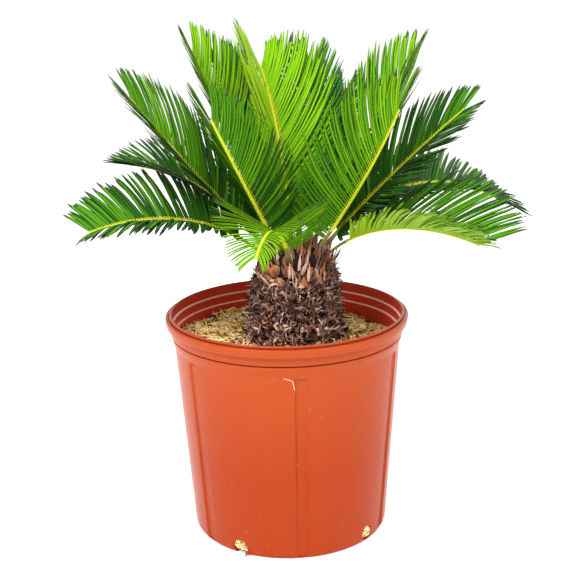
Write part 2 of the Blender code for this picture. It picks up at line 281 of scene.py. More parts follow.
@dataclass(frozen=True)
class MouldedPlastic:
    """Satin moulded plastic with faint flow streaks, scuffs and dust, painted darker lower down as shade."""

    name: str
    colour: Colour
    shade: Colour
    scuff: Colour
    roughness: float
    gloss: float = 0.16

    def material(self) -> bpy.types.Material:
        """Build the material."""
        graph = Graph(self.name)
        clouds = graph.noise(7.0, 2.0)
        streaks = graph.noise(60.0, 4.0, (1.0, 1.0, 0.06))
        specks = (graph.noise(420.0, 2.0, (0.6, 0.6, 1.0)) - 0.735) * 9.0
        grain = graph.noise(1800.0, 2.0)
        tone = clouds * 0.7 + streaks * 0.3
        # Painted shade: the colour darkens to the shade colour lower down the pot, standing for the light
        # that falls from above.
        plain = graph.blend(graph.ramp(graph.height(), 0.10, 0.235), self.shade, self.colour)
        toned = graph.blend(tone * 0.35, plain, self.shade)
        return graph.dress(
            Base_Color=graph.blend(specks, toned, self.scuff),
            Roughness=self.roughness + clouds * 0.08,
            Specular_IOR_Level=self.gloss,
            Normal=graph.bump(grain, 0.05, 0.0004),
        )


@dataclass(frozen=True)
class LeafSkin:
    """The waxy skin of a leaflet in one plain green, its rolled edges painted darker as shade."""

    tint: Tint
    edge: bool = False
    edge_shade_share: float = 0.30
    roughness: float = 0.42

    def material(self) -> bpy.types.Material:
        """Build the material."""
        # Painted shade: the edge copy takes the same green scaled darker.
        share = self.edge_shade_share if self.edge else 1.0
        graph = Graph(f"leaf_{self.tint.name.lower()}{'_edge' if self.edge else ''}")
        mottle = graph.noise(900.0, 2.0)
        return graph.dress(
            Base_Color=tuple(value * share for value in self.tint.value),
            Roughness=self.roughness + mottle * 0.2,
            Specular_IOR_Level=0.06,
            Normal=graph.bump(mottle, 0.15, 0.0004),
        )


@dataclass(frozen=True)
class Stalk:
    """The smooth yellow-green skin of a rib."""

    name: str
    colour: Colour
    shade: Colour

    def material(self) -> bpy.types.Material:
        """Build the material."""
        graph = Graph(self.name)
        flecks = graph.noise(420.0, 4.0)
        return graph.dress(
            Base_Color=graph.blend(flecks, self.colour, self.shade),
            Roughness=0.40 + flecks * 0.2,
            Specular_IOR_Level=0.15,
            Normal=graph.bump(flecks, 0.2, 0.0004),
        )


@dataclass(frozen=True)
class DryMatter:
    """Dead plant matter: bark stubs, straw, felt and crumbs."""

    name: str
    colour: Colour
    shade: Colour
    grain: float = 700.0
    depth: float = 0.0012

    def material(self) -> bpy.types.Material:
        """Build the material."""
        graph = Graph(self.name)
        patches = graph.noise(self.grain * 0.3, 3.0)
        fibres = graph.noise(self.grain, 5.0, (1.0, 1.0, 0.25))
        return graph.dress(
            Base_Color=graph.blend((patches * 0.6 + fibres * 0.4) ** 1.5, self.colour, self.shade),
            Roughness=0.75 + fibres * 0.2,
            Specular_IOR_Level=0.12,
            Normal=graph.bump(fibres + patches * 0.5, 0.6, self.depth),
        )


class Swarm:
    """Joined copies of one small closed shape, each bent and placed by its own formula."""

    def __init__(self, template: bpy.types.Mesh) -> None:
        """Take the shape that is copied.

        Args:
            template: A small mesh; its coordinates are what a formula bends.
        """
        self.template = template
        self.points = np.array([vert.co[:] for vert in template.vertices])
        self.centres = np.array([face.center[:] for face in template.polygons])
        self.blocks: list[np.ndarray] = []
        self.paints: list[np.ndarray] = []

    def add(self, bent: np.ndarray, paint: "np.ndarray | int") -> None:
        """Add one copy.

        Args:
            bent: The copy's points, as many as the template has.
            paint: The material slot of each face, or one slot for them all.
        """
        self.blocks.append(bent)
        self.paints.append(np.full(len(self.centres), paint) if np.isscalar(paint) else paint)

    def build(self, name: str, materials: Iterable[bpy.types.Material], sharp: float) -> bpy.types.Object:
        """Join the copies into one object.

        Args:
            name: The object's name.
            materials: The finishes of its slots.
            sharp: The angle in degrees past which an edge stays sharp.

        Returns:
            The joined object.
        """
        bm = bmesh.new()
        for _ in self.blocks:
            bm.from_mesh(self.template)
        mesh = Workshop.to_mesh(name, bm)
        mesh.vertices.foreach_set("co", np.concatenate(self.blocks).ravel())
        mesh.polygons.foreach_set("material_index", np.concatenate(self.paints).astype(np.int32))
        return Workshop.finished(name, mesh, materials, sharp)


class Workshop:
    """Ways of making that every sub-assembly shares."""

    @staticmethod
    def finished(
        name: str, mesh: bpy.types.Mesh, materials: Iterable[bpy.types.Material], sharp: float
    ) -> bpy.types.Object:
        """Shade a mesh, give it its finishes and link its object.

        Args:
            name: The object's name.
            mesh: The mesh.
            materials: The finishes of its slots.
            sharp: The angle in degrees past which an edge stays sharp.

        Returns:
            The object.
        """
        for finish in materials:
            mesh.materials.append(finish)
        mesh.shade_smooth()
        mesh.set_sharp_from_angle(angle=math.radians(sharp))
        mesh.update()
        made = bpy.data.objects.new(name, mesh)
        bpy.context.scene.collection.objects.link(made)
        return made

    @staticmethod
    def to_mesh(name: str, bm: bmesh.types.BMesh) -> bpy.types.Mesh:
        """Turn a bmesh into a mesh and free it."""
        mesh = bpy.data.meshes.new(name)
        bm.to_mesh(mesh)
        bm.free()
        return mesh

    @staticmethod
    def tree(mesh: bpy.types.Mesh) -> BVHTree:
        """Make a search tree of a mesh."""
        faces = [face.vertices[:] for face in mesh.polygons]
        return BVHTree.FromPolygons([vert.co for vert in mesh.vertices], faces)

    @staticmethod
    def column(corners: int, steps: int) -> bpy.types.Mesh:
        """Make a straight closed column of unit radius that rises from 0 to 1.

        Args:
            corners: Corners of its section, the first at +X.
            steps: Stretches along it.

        Returns:
            The template mesh.
        """
        bm = bmesh.new()
        bmesh.ops.create_circle(bm, cap_ends=True, segments=corners, radius=1.0)
        bmesh.ops.rotate(bm, verts=bm.verts, matrix=Matrix.Rotation(math.radians(90), 3, "Z"))
        face = next(iter(bm.faces))
        foot = bmesh.ops.duplicate(bm, geom=[face])["geom"]
        cap = next(item for item in foot if isinstance(item, bmesh.types.BMFace))
        for _ in range(steps):
            grown = bmesh.ops.extrude_face_region(bm, geom=[cap])["geom"]
            ring = [item for item in grown if isinstance(item, bmesh.types.BMVert)]
            bmesh.ops.translate(bm, verts=ring, vec=(0, 0, 1 / steps))
            bmesh.ops.delete(bm, geom=[cap], context="FACES_ONLY")
            cap = next(item for item in grown if isinstance(item, bmesh.types.BMFace))
        bmesh.ops.remove_doubles(bm, verts=bm.verts, dist=1e-6)
        bmesh.ops.recalc_face_normals(bm, faces=bm.faces)
        return Workshop.to_mesh("column", bm)

    @staticmethod
    def curled(
        cage: np.ndarray, root: Sequence[float], way: np.ndarray, over: np.ndarray,
        size: tuple[float, float, float], bend: tuple[float, float], slim: Sequence[float],
    ) -> np.ndarray:
        """Bend a straight column along an arc that also twists.

        Args:
            cage: The column's points.
            root: Where its foot stands.
            way: The way it sets out.
            over: The way across it.
            size: Its length, width and depth.
            bend: Its turn along the arc and its twist, in radians.
            slim: The share of its width at equal steps along it.

        Returns:
            The bent points.
        """
        x, y, t = cage.T
        length, width, depth = size
        turn, twist = (bend[0] if abs(bend[0]) > 1e-3 else 1e-3) * t, bend[1] * t
        per = turn[-1] / t[-1]
        up = np.cross(way, over)
        along = np.outer(np.sin(turn) / per, way) + np.outer((1 - np.cos(turn)) / per, up)
        lift = np.outer(np.cos(turn), up) - np.outer(np.sin(turn), way)
        share = np.interp(t, np.linspace(0, 1, len(slim)), slim)
        wide, high = x * width / 2 * share, y * depth / 2 * share
        across = wide * np.cos(twist) - high * np.sin(twist)
        rise = wide * np.sin(twist) + high * np.cos(twist)
        return np.array(root) + along * length + np.outer(across, over) + lift * rise[:, None]

    @staticmethod
    def draw(chance: random.Random, ranges: Sequence[Range]) -> tuple[float, ...]:
        """Draw one number from each range, in order."""
        return tuple(chance.uniform(*ends) for ends in ranges)

    @staticmethod
    def spun(profile: Sequence[tuple[float, float]], steps: int) -> bmesh.types.BMesh:
        """Spin a profile of radii and heights about the upright axis.

        Args:
            profile: Radius and height of each point in order.
            steps: Stretches round the turn.

        Returns:
            A closed bmesh with its faces pointing out.
        """
        bm = bmesh.new()
        points = [bm.verts.new((radius, 0.0, height)) for radius, height in profile]
        edges = [bm.edges.new(pair) for pair in zip(points, points[1:])]
        bmesh.ops.spin(
            bm, geom=points + edges, cent=(0, 0, 0), axis=(0, 0, 1), angle=math.tau, steps=steps,
            use_merge=True,
        )
        bmesh.ops.remove_doubles(bm, verts=bm.verts, dist=1e-6)
        bmesh.ops.recalc_face_normals(bm, faces=bm.faces)
        return bm

    @staticmethod
    def seat(piece: bpy.types.Object, slot: str, *nodes: str) -> bpy.types.Object:
        """Ride a piece on the body and let it replace its nodes.

        Args:
            piece: The finished piece.
            slot: Not used.
            *nodes: The nodes that it stands for.

        Returns:
            The same piece.
        """
        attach(piece, "root")
        if nodes:
            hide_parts(*nodes)
        LOG.info("%s: %d faces", piece.name, len(piece.data.polygons))
        return piece


@dataclass(frozen=True)
class FrondForm:
    """One frond's form: angles in degrees, lengths in metres, tier 0 the lowest ring of the head.

    The near side is the row of leaflets that may be turned apart from the other and given a brighter green as
    painted light.
    """

    name: str
    tier: int
    azimuth: float
    lift: float
    droop: float
    length: float
    leaf: float
    keel: float = 32.0
    roll: float = 0.0
    bend: float = 1.0
    swing: float = 0.0
    petiole: float = 0.16
    sweep: float = 66.0
    tints: tuple[Tint, ...] = (Tint.FRESH, Tint.LEAF)
    curl: float = 0.06
    bow: float = 0.17
    slender: float = 1.0
    tip_share: float = 0.38
    pairs_a_metre: float = 310.0
    sweep_tip: float = 20.0
    near: Side | None = None
    near_turn: float = 0.0
    # The near row's green; the forms give it only the painted-light green, which stands for light on that
    # row.
    near_painted_light: Tint | None = None
    dry: float = 0.15


BRIGHT = (Tint.FRESH, Tint.LIME, Tint.LIME)
LIVELY = (Tint.LEAF, Tint.FRESH, Tint.FRESH, Tint.LIME)
MIXED = (Tint.DEEP, Tint.LEAF, Tint.FRESH, Tint.LEAF)
DARK = (Tint.DEEP, Tint.LEAF, Tint.LEAF)
SHADED = (Tint.DEEP, Tint.DEEP, Tint.DEEP, Tint.LEAF)
COOL = (Tint.LEAF, Tint.BLUE, Tint.BLUE, Tint.FRESH)

FROND_FORMS = (
    FrondForm(
        "frond_front", 0, 259, 49, 74, 0.204, 0.082, 26, 0, 1.3, 0, tints=BRIGHT, slender=0.66,
        pairs_a_metre=340.0,
    ),
    FrondForm(
        "frond_right_low", 0, 334, 60, 83, 0.197, 0.110, 31.5, 5.5, 0.66, 11, petiole=0.25, sweep=44,
        sweep_tip=50.0, tints=DARK, bow=0.05, curl=0.09, slender=1.1, pairs_a_metre=480.0, tip_share=0.56,
        near=Side.RIGHT, near_turn=16.0, near_painted_light=Tint.GLOW, dry=0.5,
    ),
    FrondForm(
        "frond_left_low", 0, 190, 56, 74, 0.218, 0.092, 18.5, -10.5, 0.72, 0, petiole=0.22, sweep=80,
        sweep_tip=63.0, tints=SHADED, curl=0.10, bow=0.05, slender=1.25, pairs_a_metre=370.0, tip_share=0.58,
        near=Side.LEFT, near_turn=8.0, dry=0.7,
    ),
    FrondForm(
        "frond_front_left", 1, 230, 57, -4, 0.196, 0.084, 34, 10, 1.2, -10, tints=MIXED, tip_share=0.56,
        near=Side.RIGHT, near_turn=6.0,
    ),
    FrondForm("frond_front_right", 1, 318, 50, -13, 0.214, 0.116, 34, 0, 1.4, 0, tints=LIVELY),
    FrondForm(
        "frond_left", 1, 184, 46, -7, 0.240, 0.100, 22, -16, 1.0, -3, tints=MIXED, slender=1.2, dry=0.3
    ),
    FrondForm(
        "frond_right", 1, 4, 47, 8, 0.234, 0.088, 19, 17, 1.3, 2, tints=SHADED, slender=1.25, dry=0.4,
        bow=0.08, near=Side.RIGHT, near_turn=25.0,
    ),
    FrondForm("frond_left_tall", 2, 158, 61, -6, 0.243, 0.102, 33, -8, 1.0, 4, tints=BRIGHT, slender=1.15),
    FrondForm("frond_right_tall", 2, 20, 51, -14, 0.241, 0.115, 34, 0, 1.3, -6, tints=LIVELY, slender=1.35),
    FrondForm(
        "frond_centre_tall", 2, 115, 84, 46, 0.227, 0.125, 31, 17, 1.4, -8, sweep=46, tints=BRIGHT,
        slender=1.1, pairs_a_metre=400.0, tip_share=0.36, near=Side.LEFT, near_turn=-4.0, near_painted_light=Tint.GLOW,
    ),
    FrondForm(
        "frond_left_arched", 0, 162, 60, 56, 0.207, 0.084, 22, -8, 1.0, 7, tints=SHADED, bow=0.08,
        slender=1.1, dry=0.6,
    ),
    FrondForm(
        "frond_right_arched", 0, 29, 52.5, 88, 0.286, 0.086, 14, 13, 0.98, -7.5, sweep=62, sweep_tip=48.0,
        tints=SHADED, bow=0.06, slender=1.25, pairs_a_metre=350.0, tip_share=0.50, dry=0.6,
    ),
    FrondForm("frond_back_tall", 2, 79, 64, 6, 0.230, 0.088, 30, 0, 1.2, 0, sweep=46, tints=COOL),
    FrondForm("frond_back_left_tall", 1, 128, 67, 6, 0.231, 0.094, 32, 0, 1.2, 12, sweep=52, tints=COOL),
    FrondForm("frond_back_right_tall", 1, 64, 56, 4, 0.213, 0.077, 32, 0, 1.2, 0, sweep=42, tints=COOL),
    FrondForm("frond_back_left_low", 0, 128, 40, 50, 0.235, 0.082, 26, 0, 1.2, 0, tints=DARK),
    FrondForm("frond_back_low", 0, 96, 42, 54, 0.235, 0.082, 26, 0, 1.2, 0, tints=MIXED),
    FrondForm("frond_back_right_low", 0, 62, 40, 50, 0.235, 0.082, 26, 0, 1.2, 0, tints=DARK),
    FrondForm("frond_back", 1, 100, 50, 24, 0.230, 0.088, 30, 0, 1.2, 0, tints=MIXED),
)


@dataclass(frozen=True)
class Station:
    """A place on a rib: its point, the way along, the way across and the leaf face's normal."""

    point: Vector
    along: Vector
    across: Vector
    normal: Vector


@dataclass
class Frond:
    """One frond: a tapering rib and two rows of narrow leaflets; a tier is a ring's radius and height."""

    form: FrondForm
    chance: random.Random
    tiers: tuple[tuple[float, float], ...] = ((0.030, 0.316), (0.022, 0.322), (0.013, 0.328))
    steps: int = 80
    rings: tuple[float, ...] = (0.0, 0.035, 0.17, 0.34, 0.52, 0.69, 0.84, 0.945, 1.0)
    rib_base: tuple[float, float] = (0.0064, 0.0052)
    rib_tip: tuple[float, float] = (0.0029, 0.0021)
    leaf_depth: float = 0.0008
    leaf_roll: float = 0.0006
    width_range: tuple[float, float] = (0.0029, 0.0046)
    base_share: float = 0.50
    slim_places: tuple[float, ...] = (0.0, 0.035, 0.17, 0.52, 0.84, 0.945, 1.0)
    slim_shares: tuple[float, ...] = (0.5, 0.66, 0.86, 1.0, 0.84, 0.42, 0.05)
    golden_root: float = 0.12
    dry_starts: Range = (0.80, 0.90)
    track: list[Station] = field(default_factory=list)

    def __post_init__(self) -> None:
        """Work out the stations of the rib."""
        form = self.form
        radius, height = self.tiers[form.tier]
        start = math.radians(form.azimuth)
        point = Vector((TRUNK_X + radius * math.cos(start), radius * math.sin(start), height))
        for step in range(self.steps + 1):
            share = step / self.steps
            turn = math.radians(form.azimuth + form.swing * share)
            lift = math.radians(form.lift - form.droop * share**form.bend)
            level = Vector((math.cos(turn), math.sin(turn), 0.0))
            along = level * math.cos(lift) + Vector((0, 0, math.sin(lift)))
            across = Vector((-level.y, level.x, 0.0))
            roll = Matrix.Rotation(math.radians(form.roll), 3, along)
            self.track.append(Station(point.copy(), along, roll @ across, roll @ along.cross(across)))
            point += along * form.length / self.steps

    def station(self, share: float) -> Station:
        """Find a place on the rib.

        Args:
            share: Share of the rib's length from its foot.

        Returns:
            The station there.
        """
        place = min(max(share, 0.0), 1.0) * self.steps
        index = min(int(place), self.steps - 1)
        first, second, part = self.track[index], self.track[index + 1], place - index
        return Station(
            first.point.lerp(second.point, part),
            first.along.lerp(second.along, part).normalized(),
            first.across.lerp(second.across, part).normalized(),
            first.normal.lerp(second.normal, part).normalized(),
        )

    def rib_size(self, share: float) -> tuple[float, float]:
        """Give the rib's width and depth at a share of its length."""
        flare = 1 + 0.5 * max(0.0, 1 - share / 0.08) ** 2
        ends = zip(self.rib_base, self.rib_tip)
        width, depth = (base + (tip - base) * share**0.8 for base, tip in ends)
        return width * flare, depth * flare

    def rib(self, template: bpy.types.Mesh, finishes: list[bpy.types.Material]) -> bpy.types.Object:
        """Build the rib, flat on its leaf face and round behind, brown at its foot.

        Args:
            template: A straight column.
            finishes: The rib's green, the olive of its lower part and its brown foot.

        Returns:
            The rib's object.
        """
        swarm = Swarm(template)
        bent = []
        for x, y, z in swarm.points:
            share = 0.01 + 0.99 * z
            station = self.station(share)
            width, depth = self.rib_size(share)
            over = y if y < 0 else y * 0.55
            bent.append(station.point + station.across * x * width / 2 + station.normal * over * depth / 2)
        height = swarm.centres[:, 2]
        swarm.add(np.array(bent), (height < 0.20).astype(int) + (height < 0.09))
        return swarm.build(f"{self.form.name}_rib", finishes, 50)

    def leaf_share(self, place: float) -> float:
        """Give a leaflet's share of the longest length at a place from the first pair to the last."""
        swell = min(1.0, self.base_share + 1.7 * place)
        taper = max(0.0, (place - 0.5) / 0.5) ** 1.4
        return swell * (1 - (1 - self.form.tip_share) * taper)

    def leaf_frame(self, place: float, side: Side) -> Stand:
        """Find where a leaflet stands and how it points.

        Args:
            place: Its place from the first pair to the last.
            side: Its side of the rib.

        Returns:
            Its root, its way out, the way across it and its upper face's normal.
        """
        share = self.form.petiole + (1 - self.form.petiole) * place
        station = self.station(share)
        turn = self.chance.gauss(0, 1.6)
        turn += self.form.near_turn if side is self.form.near else 0.0
        sweep = math.radians(self.form.sweep + (self.form.sweep_tip - self.form.sweep) * place**0.8 + turn)
        keel = math.radians(self.form.keel + self.chance.gauss(0, 2.0))
        out = station.across * side.value * math.cos(keel) + station.normal * math.sin(keel)
        way = (station.along * math.cos(sweep) + out * math.sin(sweep)).normalized()
        blade = (station.along - way * station.along.dot(way)).normalized()
        face = way.cross(blade)
        if face.dot(station.normal) < 0:
            face = -face
        width, depth = self.rib_size(share)
        root = station.point + station.across * side.value * width * 0.30 + station.normal * depth * 0.12
        return root, way, blade, face

    def leaf_width(self, stand: Stand, place: float) -> float:
        """Give a leaflet's width, just under the room that its neighbours leave it.

        Args:
            stand: The leaflet's root, way, blade and face.
            place: Its place from the first pair to the last.

        Returns:
            The width in metres.
        """
        along = self.station(self.form.petiole + (1 - self.form.petiole) * place).along
        room = math.sin(stand[1].angle(along)) / self.form.pairs_a_metre
        low, high = self.width_range
        return min(max(room * 1.42, low), high) * self.form.slender

    def leaf_points(self, cage: np.ndarray, stand: Stand, length: float, width: float) -> np.ndarray:
        """Bend one straight blade into a leaflet with rolled edges.

        Args:
            cage: The template's points, with z from the root to the tip.
            stand: The leaflet's root, way, blade and face.
            length: Its length.
            width: Its width.

        Returns:
            The bent points.
        """
        root, way, blade, face = (np.array(item[:]) for item in stand)
        x, y, z = cage.T
        x, z = np.sign(x) * np.abs(x) ** 0.75, np.interp(z, np.linspace(0, 1, len(self.rings)), self.rings)
        slim = np.interp(z, self.slim_places, self.slim_shares)
        curl = self.form.curl + self.chance.gauss(0, 0.02)
        bow = self.form.bow + self.chance.gauss(0, 0.03)
        twist = self.chance.gauss(0, 0.10) * z + self.chance.gauss(0, 0.08)
        wide = x * slim * width / 2
        high = y * self.leaf_depth / 2 * (0.4 + 0.6 * slim) - x**2 * slim * self.leaf_roll
        over = wide * np.cos(twist) - high * np.sin(twist)
        up = wide * np.sin(twist) + high * np.cos(twist)
        up = up - curl * length * z**2.2 + curl * 0.5 * length * z
        over = over + bow * length * (z**2 - z)
        return root + np.outer(z * length, way) + np.outer(over, blade) + np.outer(up, face)

    def leaf_paints(self, swarm: "Swarm", tint: int, slots: int) -> np.ndarray:
        """Deal a leaflet's slots out to its faces.

        Args:
            swarm: The leaflets' swarm, whose template has its faces.
            tint: The slot of the leaflet's own green, with its edge, painted darker as shade, in the next
                one.
            slots: The number of slots, whose last two are the golden root and the dry tip.

        Returns:
            The slot of each face.
        """
        x, _, z = swarm.centres.T
        middle = np.abs(x) < 0.4
        # The middle keeps the leaflet's green; the faces off it take the edge copy, painted darker as shade.
        paint = np.where(middle, tint, tint + 1)
        paint = np.where((z < self.golden_root) & middle, slots - 2, paint)
        luck = self.chance.random()
        early, late = self.dry_starts
        dead = early if luck < self.form.dry else late if luck < 2 * self.form.dry else 1.0
        return np.where(z > dead, slots - 1, paint)

    def leaflets(
        self, template: bpy.types.Mesh, skins: dict[tuple[Tint, bool], bpy.types.Material],
        others: list[BVHTree],
    ) -> bpy.types.Object:
        """Build the two rows of leaflets, leaving out those that would cut another frond.

        Args:
            template: A straight flat blade.
            skins: The materials of the tints and of their edges.
            others: Search trees of the fronds made before this one and of the trunk.

        Returns:
            The joined leaflets.
        """
        swarm = Swarm(template)
        # The painted-light green always gets its pair of slots.
        tints = list(dict.fromkeys((*self.form.tints, Tint.GLOW)))
        keys = [(tint, edge) for tint in tints for edge in (False, True)]
        keys += [(Tint.GOLD, False), (Tint.DRY, False)]
        pairs = int(self.form.length * (1 - self.form.petiole) * self.form.pairs_a_metre)
        for index in range(pairs):
            for side in Side:
                place = (index + 0.5 + self.chance.uniform(-0.1, 0.1)) / pairs
                stand = self.leaf_frame(place, side)
                longest = self.form.leaf * self.leaf_share(place) * self.chance.uniform(0.95, 1.05)
                step = (place + self.chance.gauss(0, 0.2)) * len(self.form.tints)
                tint = self.form.tints[min(max(int(step), 0), len(self.form.tints) - 1)]
                # Painted light: the near row takes the brighter lit green.
                if side is self.form.near and self.form.near_painted_light:
                    tint = self.form.near_painted_light
                slot = 2 * tints.index(tint)
                width = self.leaf_width(stand, place)
                for share in (1.0, 0.8, 0.6, 0.4):
                    points = self.leaf_points(swarm.points, stand, longest * share, width)
                    if not self.touches(stand[0], points, others):
                        swarm.add(points, self.leaf_paints(swarm, slot, len(keys)))
                        break
        return swarm.build(f"{self.form.name}_leaflets", [skins[key] for key in keys], 28)

    @staticmethod
    def touches(root: Vector, points: np.ndarray, others: list[BVHTree]) -> bool:
        """Tell whether a leaflet's line runs through another frond.

        Args:
            root: The leaflet's root.
            points: Its bent points, root end first and tip end last in height.
            others: Search trees of what it must clear.

        Returns:
            True if the line from near the root to the tip meets any of them.
        """
        tip = Vector(points[-1])
        way = tip - root
        start = root + way * 0.12
        return any(tree.ray_cast(start, way, way.length * 0.88)[0] for tree in others)


@dataclass
class Crown:
    """Every frond of the palm, made in the order in which they claim their space."""

    forms: tuple[FrondForm, ...] = FROND_FORMS
    # Painted shade on leaflet edges: how much of each green the edge keeps; the painted-light green keeps
    # more.
    edge_shade_shares: dict[Tint, float] = field(default_factory=lambda: {Tint.GLOW: 0.8})
    seed: int = 11

    def build(self) -> None:
        """Build the ribs and the leaflets, each frond clear of those made before it."""
        skins = {
            (tint, edge): LeafSkin(tint, edge, self.edge_shade_shares.get(tint, LeafSkin.edge_shade_share)).material()
            for tint in Tint
            for edge in (False, True)
        }
        stalks = [
            Stalk("rib_green", (0.58, 0.58, 0.014), (0.36, 0.45, 0.010)).material(),
            Stalk("rib_olive", (0.20, 0.22, 0.030), (0.12, 0.11, 0.025)).material(),
            Stalk("rib_foot", (0.17, 0.11, 0.035), (0.10, 0.05, 0.02)).material(),
        ]
        column, blade = Workshop.column(8, 28), Workshop.column(6, 8)
        others = [Workshop.tree(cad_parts["trunk"].data)]
        for form in self.forms:
            frond = Frond(form, random.Random(f"{self.seed}{form.name}"))
            rib = frond.rib(column, stalks)
            leaves = frond.leaflets(blade, skins, others)
            for piece in (rib, leaves):
                Workshop.seat(piece, "frond", form.name)
            others.append(Workshop.tree(leaves.data))


@dataclass
class Pot:
    """The nursery pot: beaded rim, collar, tapering fluted wall and drain holes.

    A drain hole is given by its turn in degrees, its radius and its height.
    """

    rim_z: float = 0.256
    rim_radius: float = 0.140
    rim_band: float = 0.0095
    bead_radius: float = 0.1356
    bead_width: float = 0.0030
    bead_rise: float = 0.0032
    collar_radius: float = 0.1343
    collar_wall: float = 0.0035
    collar_band: float = 0.0102
    groove_radius: float = 0.1310
    groove_band: float = 0.0018
    shoulder_radius: float = 0.1333
    shoulder: float = 0.2215
    wall_top: float = 0.1303
    wall_foot: float = 0.1140
    wall: float = 0.0028
    floor: float = 0.0040
    flutes: int = 6
    flute_turn: float = 36.3
    flute_width: float = 0.0130
    flute_depth: float = 0.0022
    flute_edge: float = 0.0026
    holes: tuple[tuple[float, float, float], ...] = (
        (29.7, 0.0088, 0.0100), (99.7, 0.0088, 0.0100), (169.7, 0.0088, 0.0100), (239.6, 0.0096, 0.0082),
        (319.7, 0.0088, 0.0104),
    )
    steps: int = 480

    def wall_radius(self, height: float) -> float:
        """Give the plain wall's outer radius at a height."""
        return self.wall_foot + (self.wall_top - self.wall_foot) * height / self.shoulder

    @staticmethod
    def arc(radius: float, height: float, bend: float, start: float, end: float, steps: int = 4) -> list:
        """List the points of a round stretch of a profile.

        Args:
            radius: Radius of the arc's centre round the pot.
            height: Height of the arc's centre.
            bend: The arc's own radius.
            start: Its first angle in degrees.
            end: Its last angle in degrees.
            steps: Its stretches.

        Returns:
            The points in order.
        """
        angles = [math.radians(start + (end - start) * step / steps) for step in range(steps + 1)]
        return [(radius + bend * math.cos(a), height + bend * math.sin(a)) for a in angles]

    def profile(self) -> list[tuple[float, float]]:
        """List the section from the floor's middle up the inside, over the rim and down the outside."""
        collar_top = self.rim_z - self.rim_band
        collar_foot = collar_top - self.collar_band
        groove_foot = collar_foot - self.groove_band
        bead_top, lip = self.rim_z + self.bead_rise, self.bead_radius - self.bead_width
        ledge, inner = self.groove_radius - self.wall, self.collar_radius - self.collar_wall
        bead, soft = self.bead_width / 2, 0.0007
        points = [(0.0, self.floor)]
        points += [(self.wall_radius(z) - self.wall, z) for z in (self.floor, 0.06, 0.12, 0.18, 0.212)]
        points += [(self.wall_radius(self.shoulder) - self.wall + 0.0002, self.shoulder)]
        points += [(ledge - 0.0004, groove_foot - 0.004), (ledge, collar_foot - soft)]
        points += self.arc(inner - soft, collar_foot + soft, soft, -80, 0)
        points += self.arc(inner + soft, collar_top - soft, soft, 180, 110)
        points += self.arc(lip - soft, collar_top + 2 * soft, soft, -80, 0)
        points += self.arc(lip + bead, bead_top - bead, bead, 175, 0, 8)
        points += [(self.bead_radius, self.rim_z - 0.0008), (self.bead_radius + 0.0009, self.rim_z - 0.0008)]
        points += [(self.bead_radius + 0.0013, self.rim_z)]
        points += self.arc(self.rim_radius - 0.0013, self.rim_z - 0.0013, 0.0013, 92, 2, 6)
        points += [(self.rim_radius - 0.0004, collar_top + 0.0022)]
        points += self.arc(self.rim_radius - 0.0024, collar_top + 0.0012, 0.0016, -15, -55, 3)
        points += self.arc(self.collar_radius + 0.0016, collar_top - 0.0022, 0.0014, 125, 172, 3)
        points += self.arc(self.collar_radius - soft, collar_foot + soft, soft, 4, -75)
        points += [(self.groove_radius, collar_foot - 0.0001), (self.groove_radius, groove_foot + 0.0001)]
        points += self.arc(self.shoulder_radius - soft, groove_foot - soft, soft, 80, -5)
        for step in range(1, 7):
            share = step / 7
            sink = (self.shoulder_radius - self.wall_top) * (0.5 - 0.5 * math.cos(math.pi * share))
            height = groove_foot - soft + (self.shoulder - groove_foot) * share
            points.append((self.shoulder_radius - sink, height))
        points += self.wall_rows()
        points += self.arc(self.wall_radius(0.0) - 0.0036, 0.0036, 0.0036, -6, -90, 5)
        return [*points, (0.09, 0.0), (0.0, 0.0)]

    def wall_rows(self) -> list[tuple[float, float]]:
        """List the wall's rows, closest together at the flutes' tops."""
        rows = 44
        heights = [self.shoulder - (self.shoulder - 0.006) * (row / rows) ** 1.6 for row in range(rows + 1)]
        return [(self.wall_radius(z), z) for z in heights]

    def relief_at(self, angle: float, z: float) -> float:
        """Give how far the wall is pressed in by an upright flute.

        Args:
            angle: Angle round the pot in degrees.
            z: Height.

        Returns:
            The depth in metres.
        """
        pitch = 360 / self.flutes
        off = (angle - self.flute_turn + pitch / 2) % pitch - pitch / 2
        across = abs(math.radians(off)) * self.wall_radius(z)
        inside = min(self.flute_width / 2 - across, self.shoulder - 0.0012 - z) + self.flute_edge / 2
        share = min(1.0, max(0.0, inside / self.flute_edge))
        return self.flute_depth * share * share * (3 - 2 * share)

    def shell(self) -> bpy.types.Mesh:
        """Spin the wall and press its flutes in."""
        bm = Workshop.spun(self.profile(), self.steps)
        for vert in bm.verts:
            radius = vert.co.xy.length
            if radius > self.wall_radius(vert.co.z) - self.wall / 2 and vert.co.z < self.shoulder + 0.001:
                sink = self.relief_at(math.degrees(math.atan2(vert.co.y, vert.co.x)), vert.co.z)
                vert.co.xy *= (radius - sink) / radius
        return Workshop.to_mesh("pot_shell", bm)

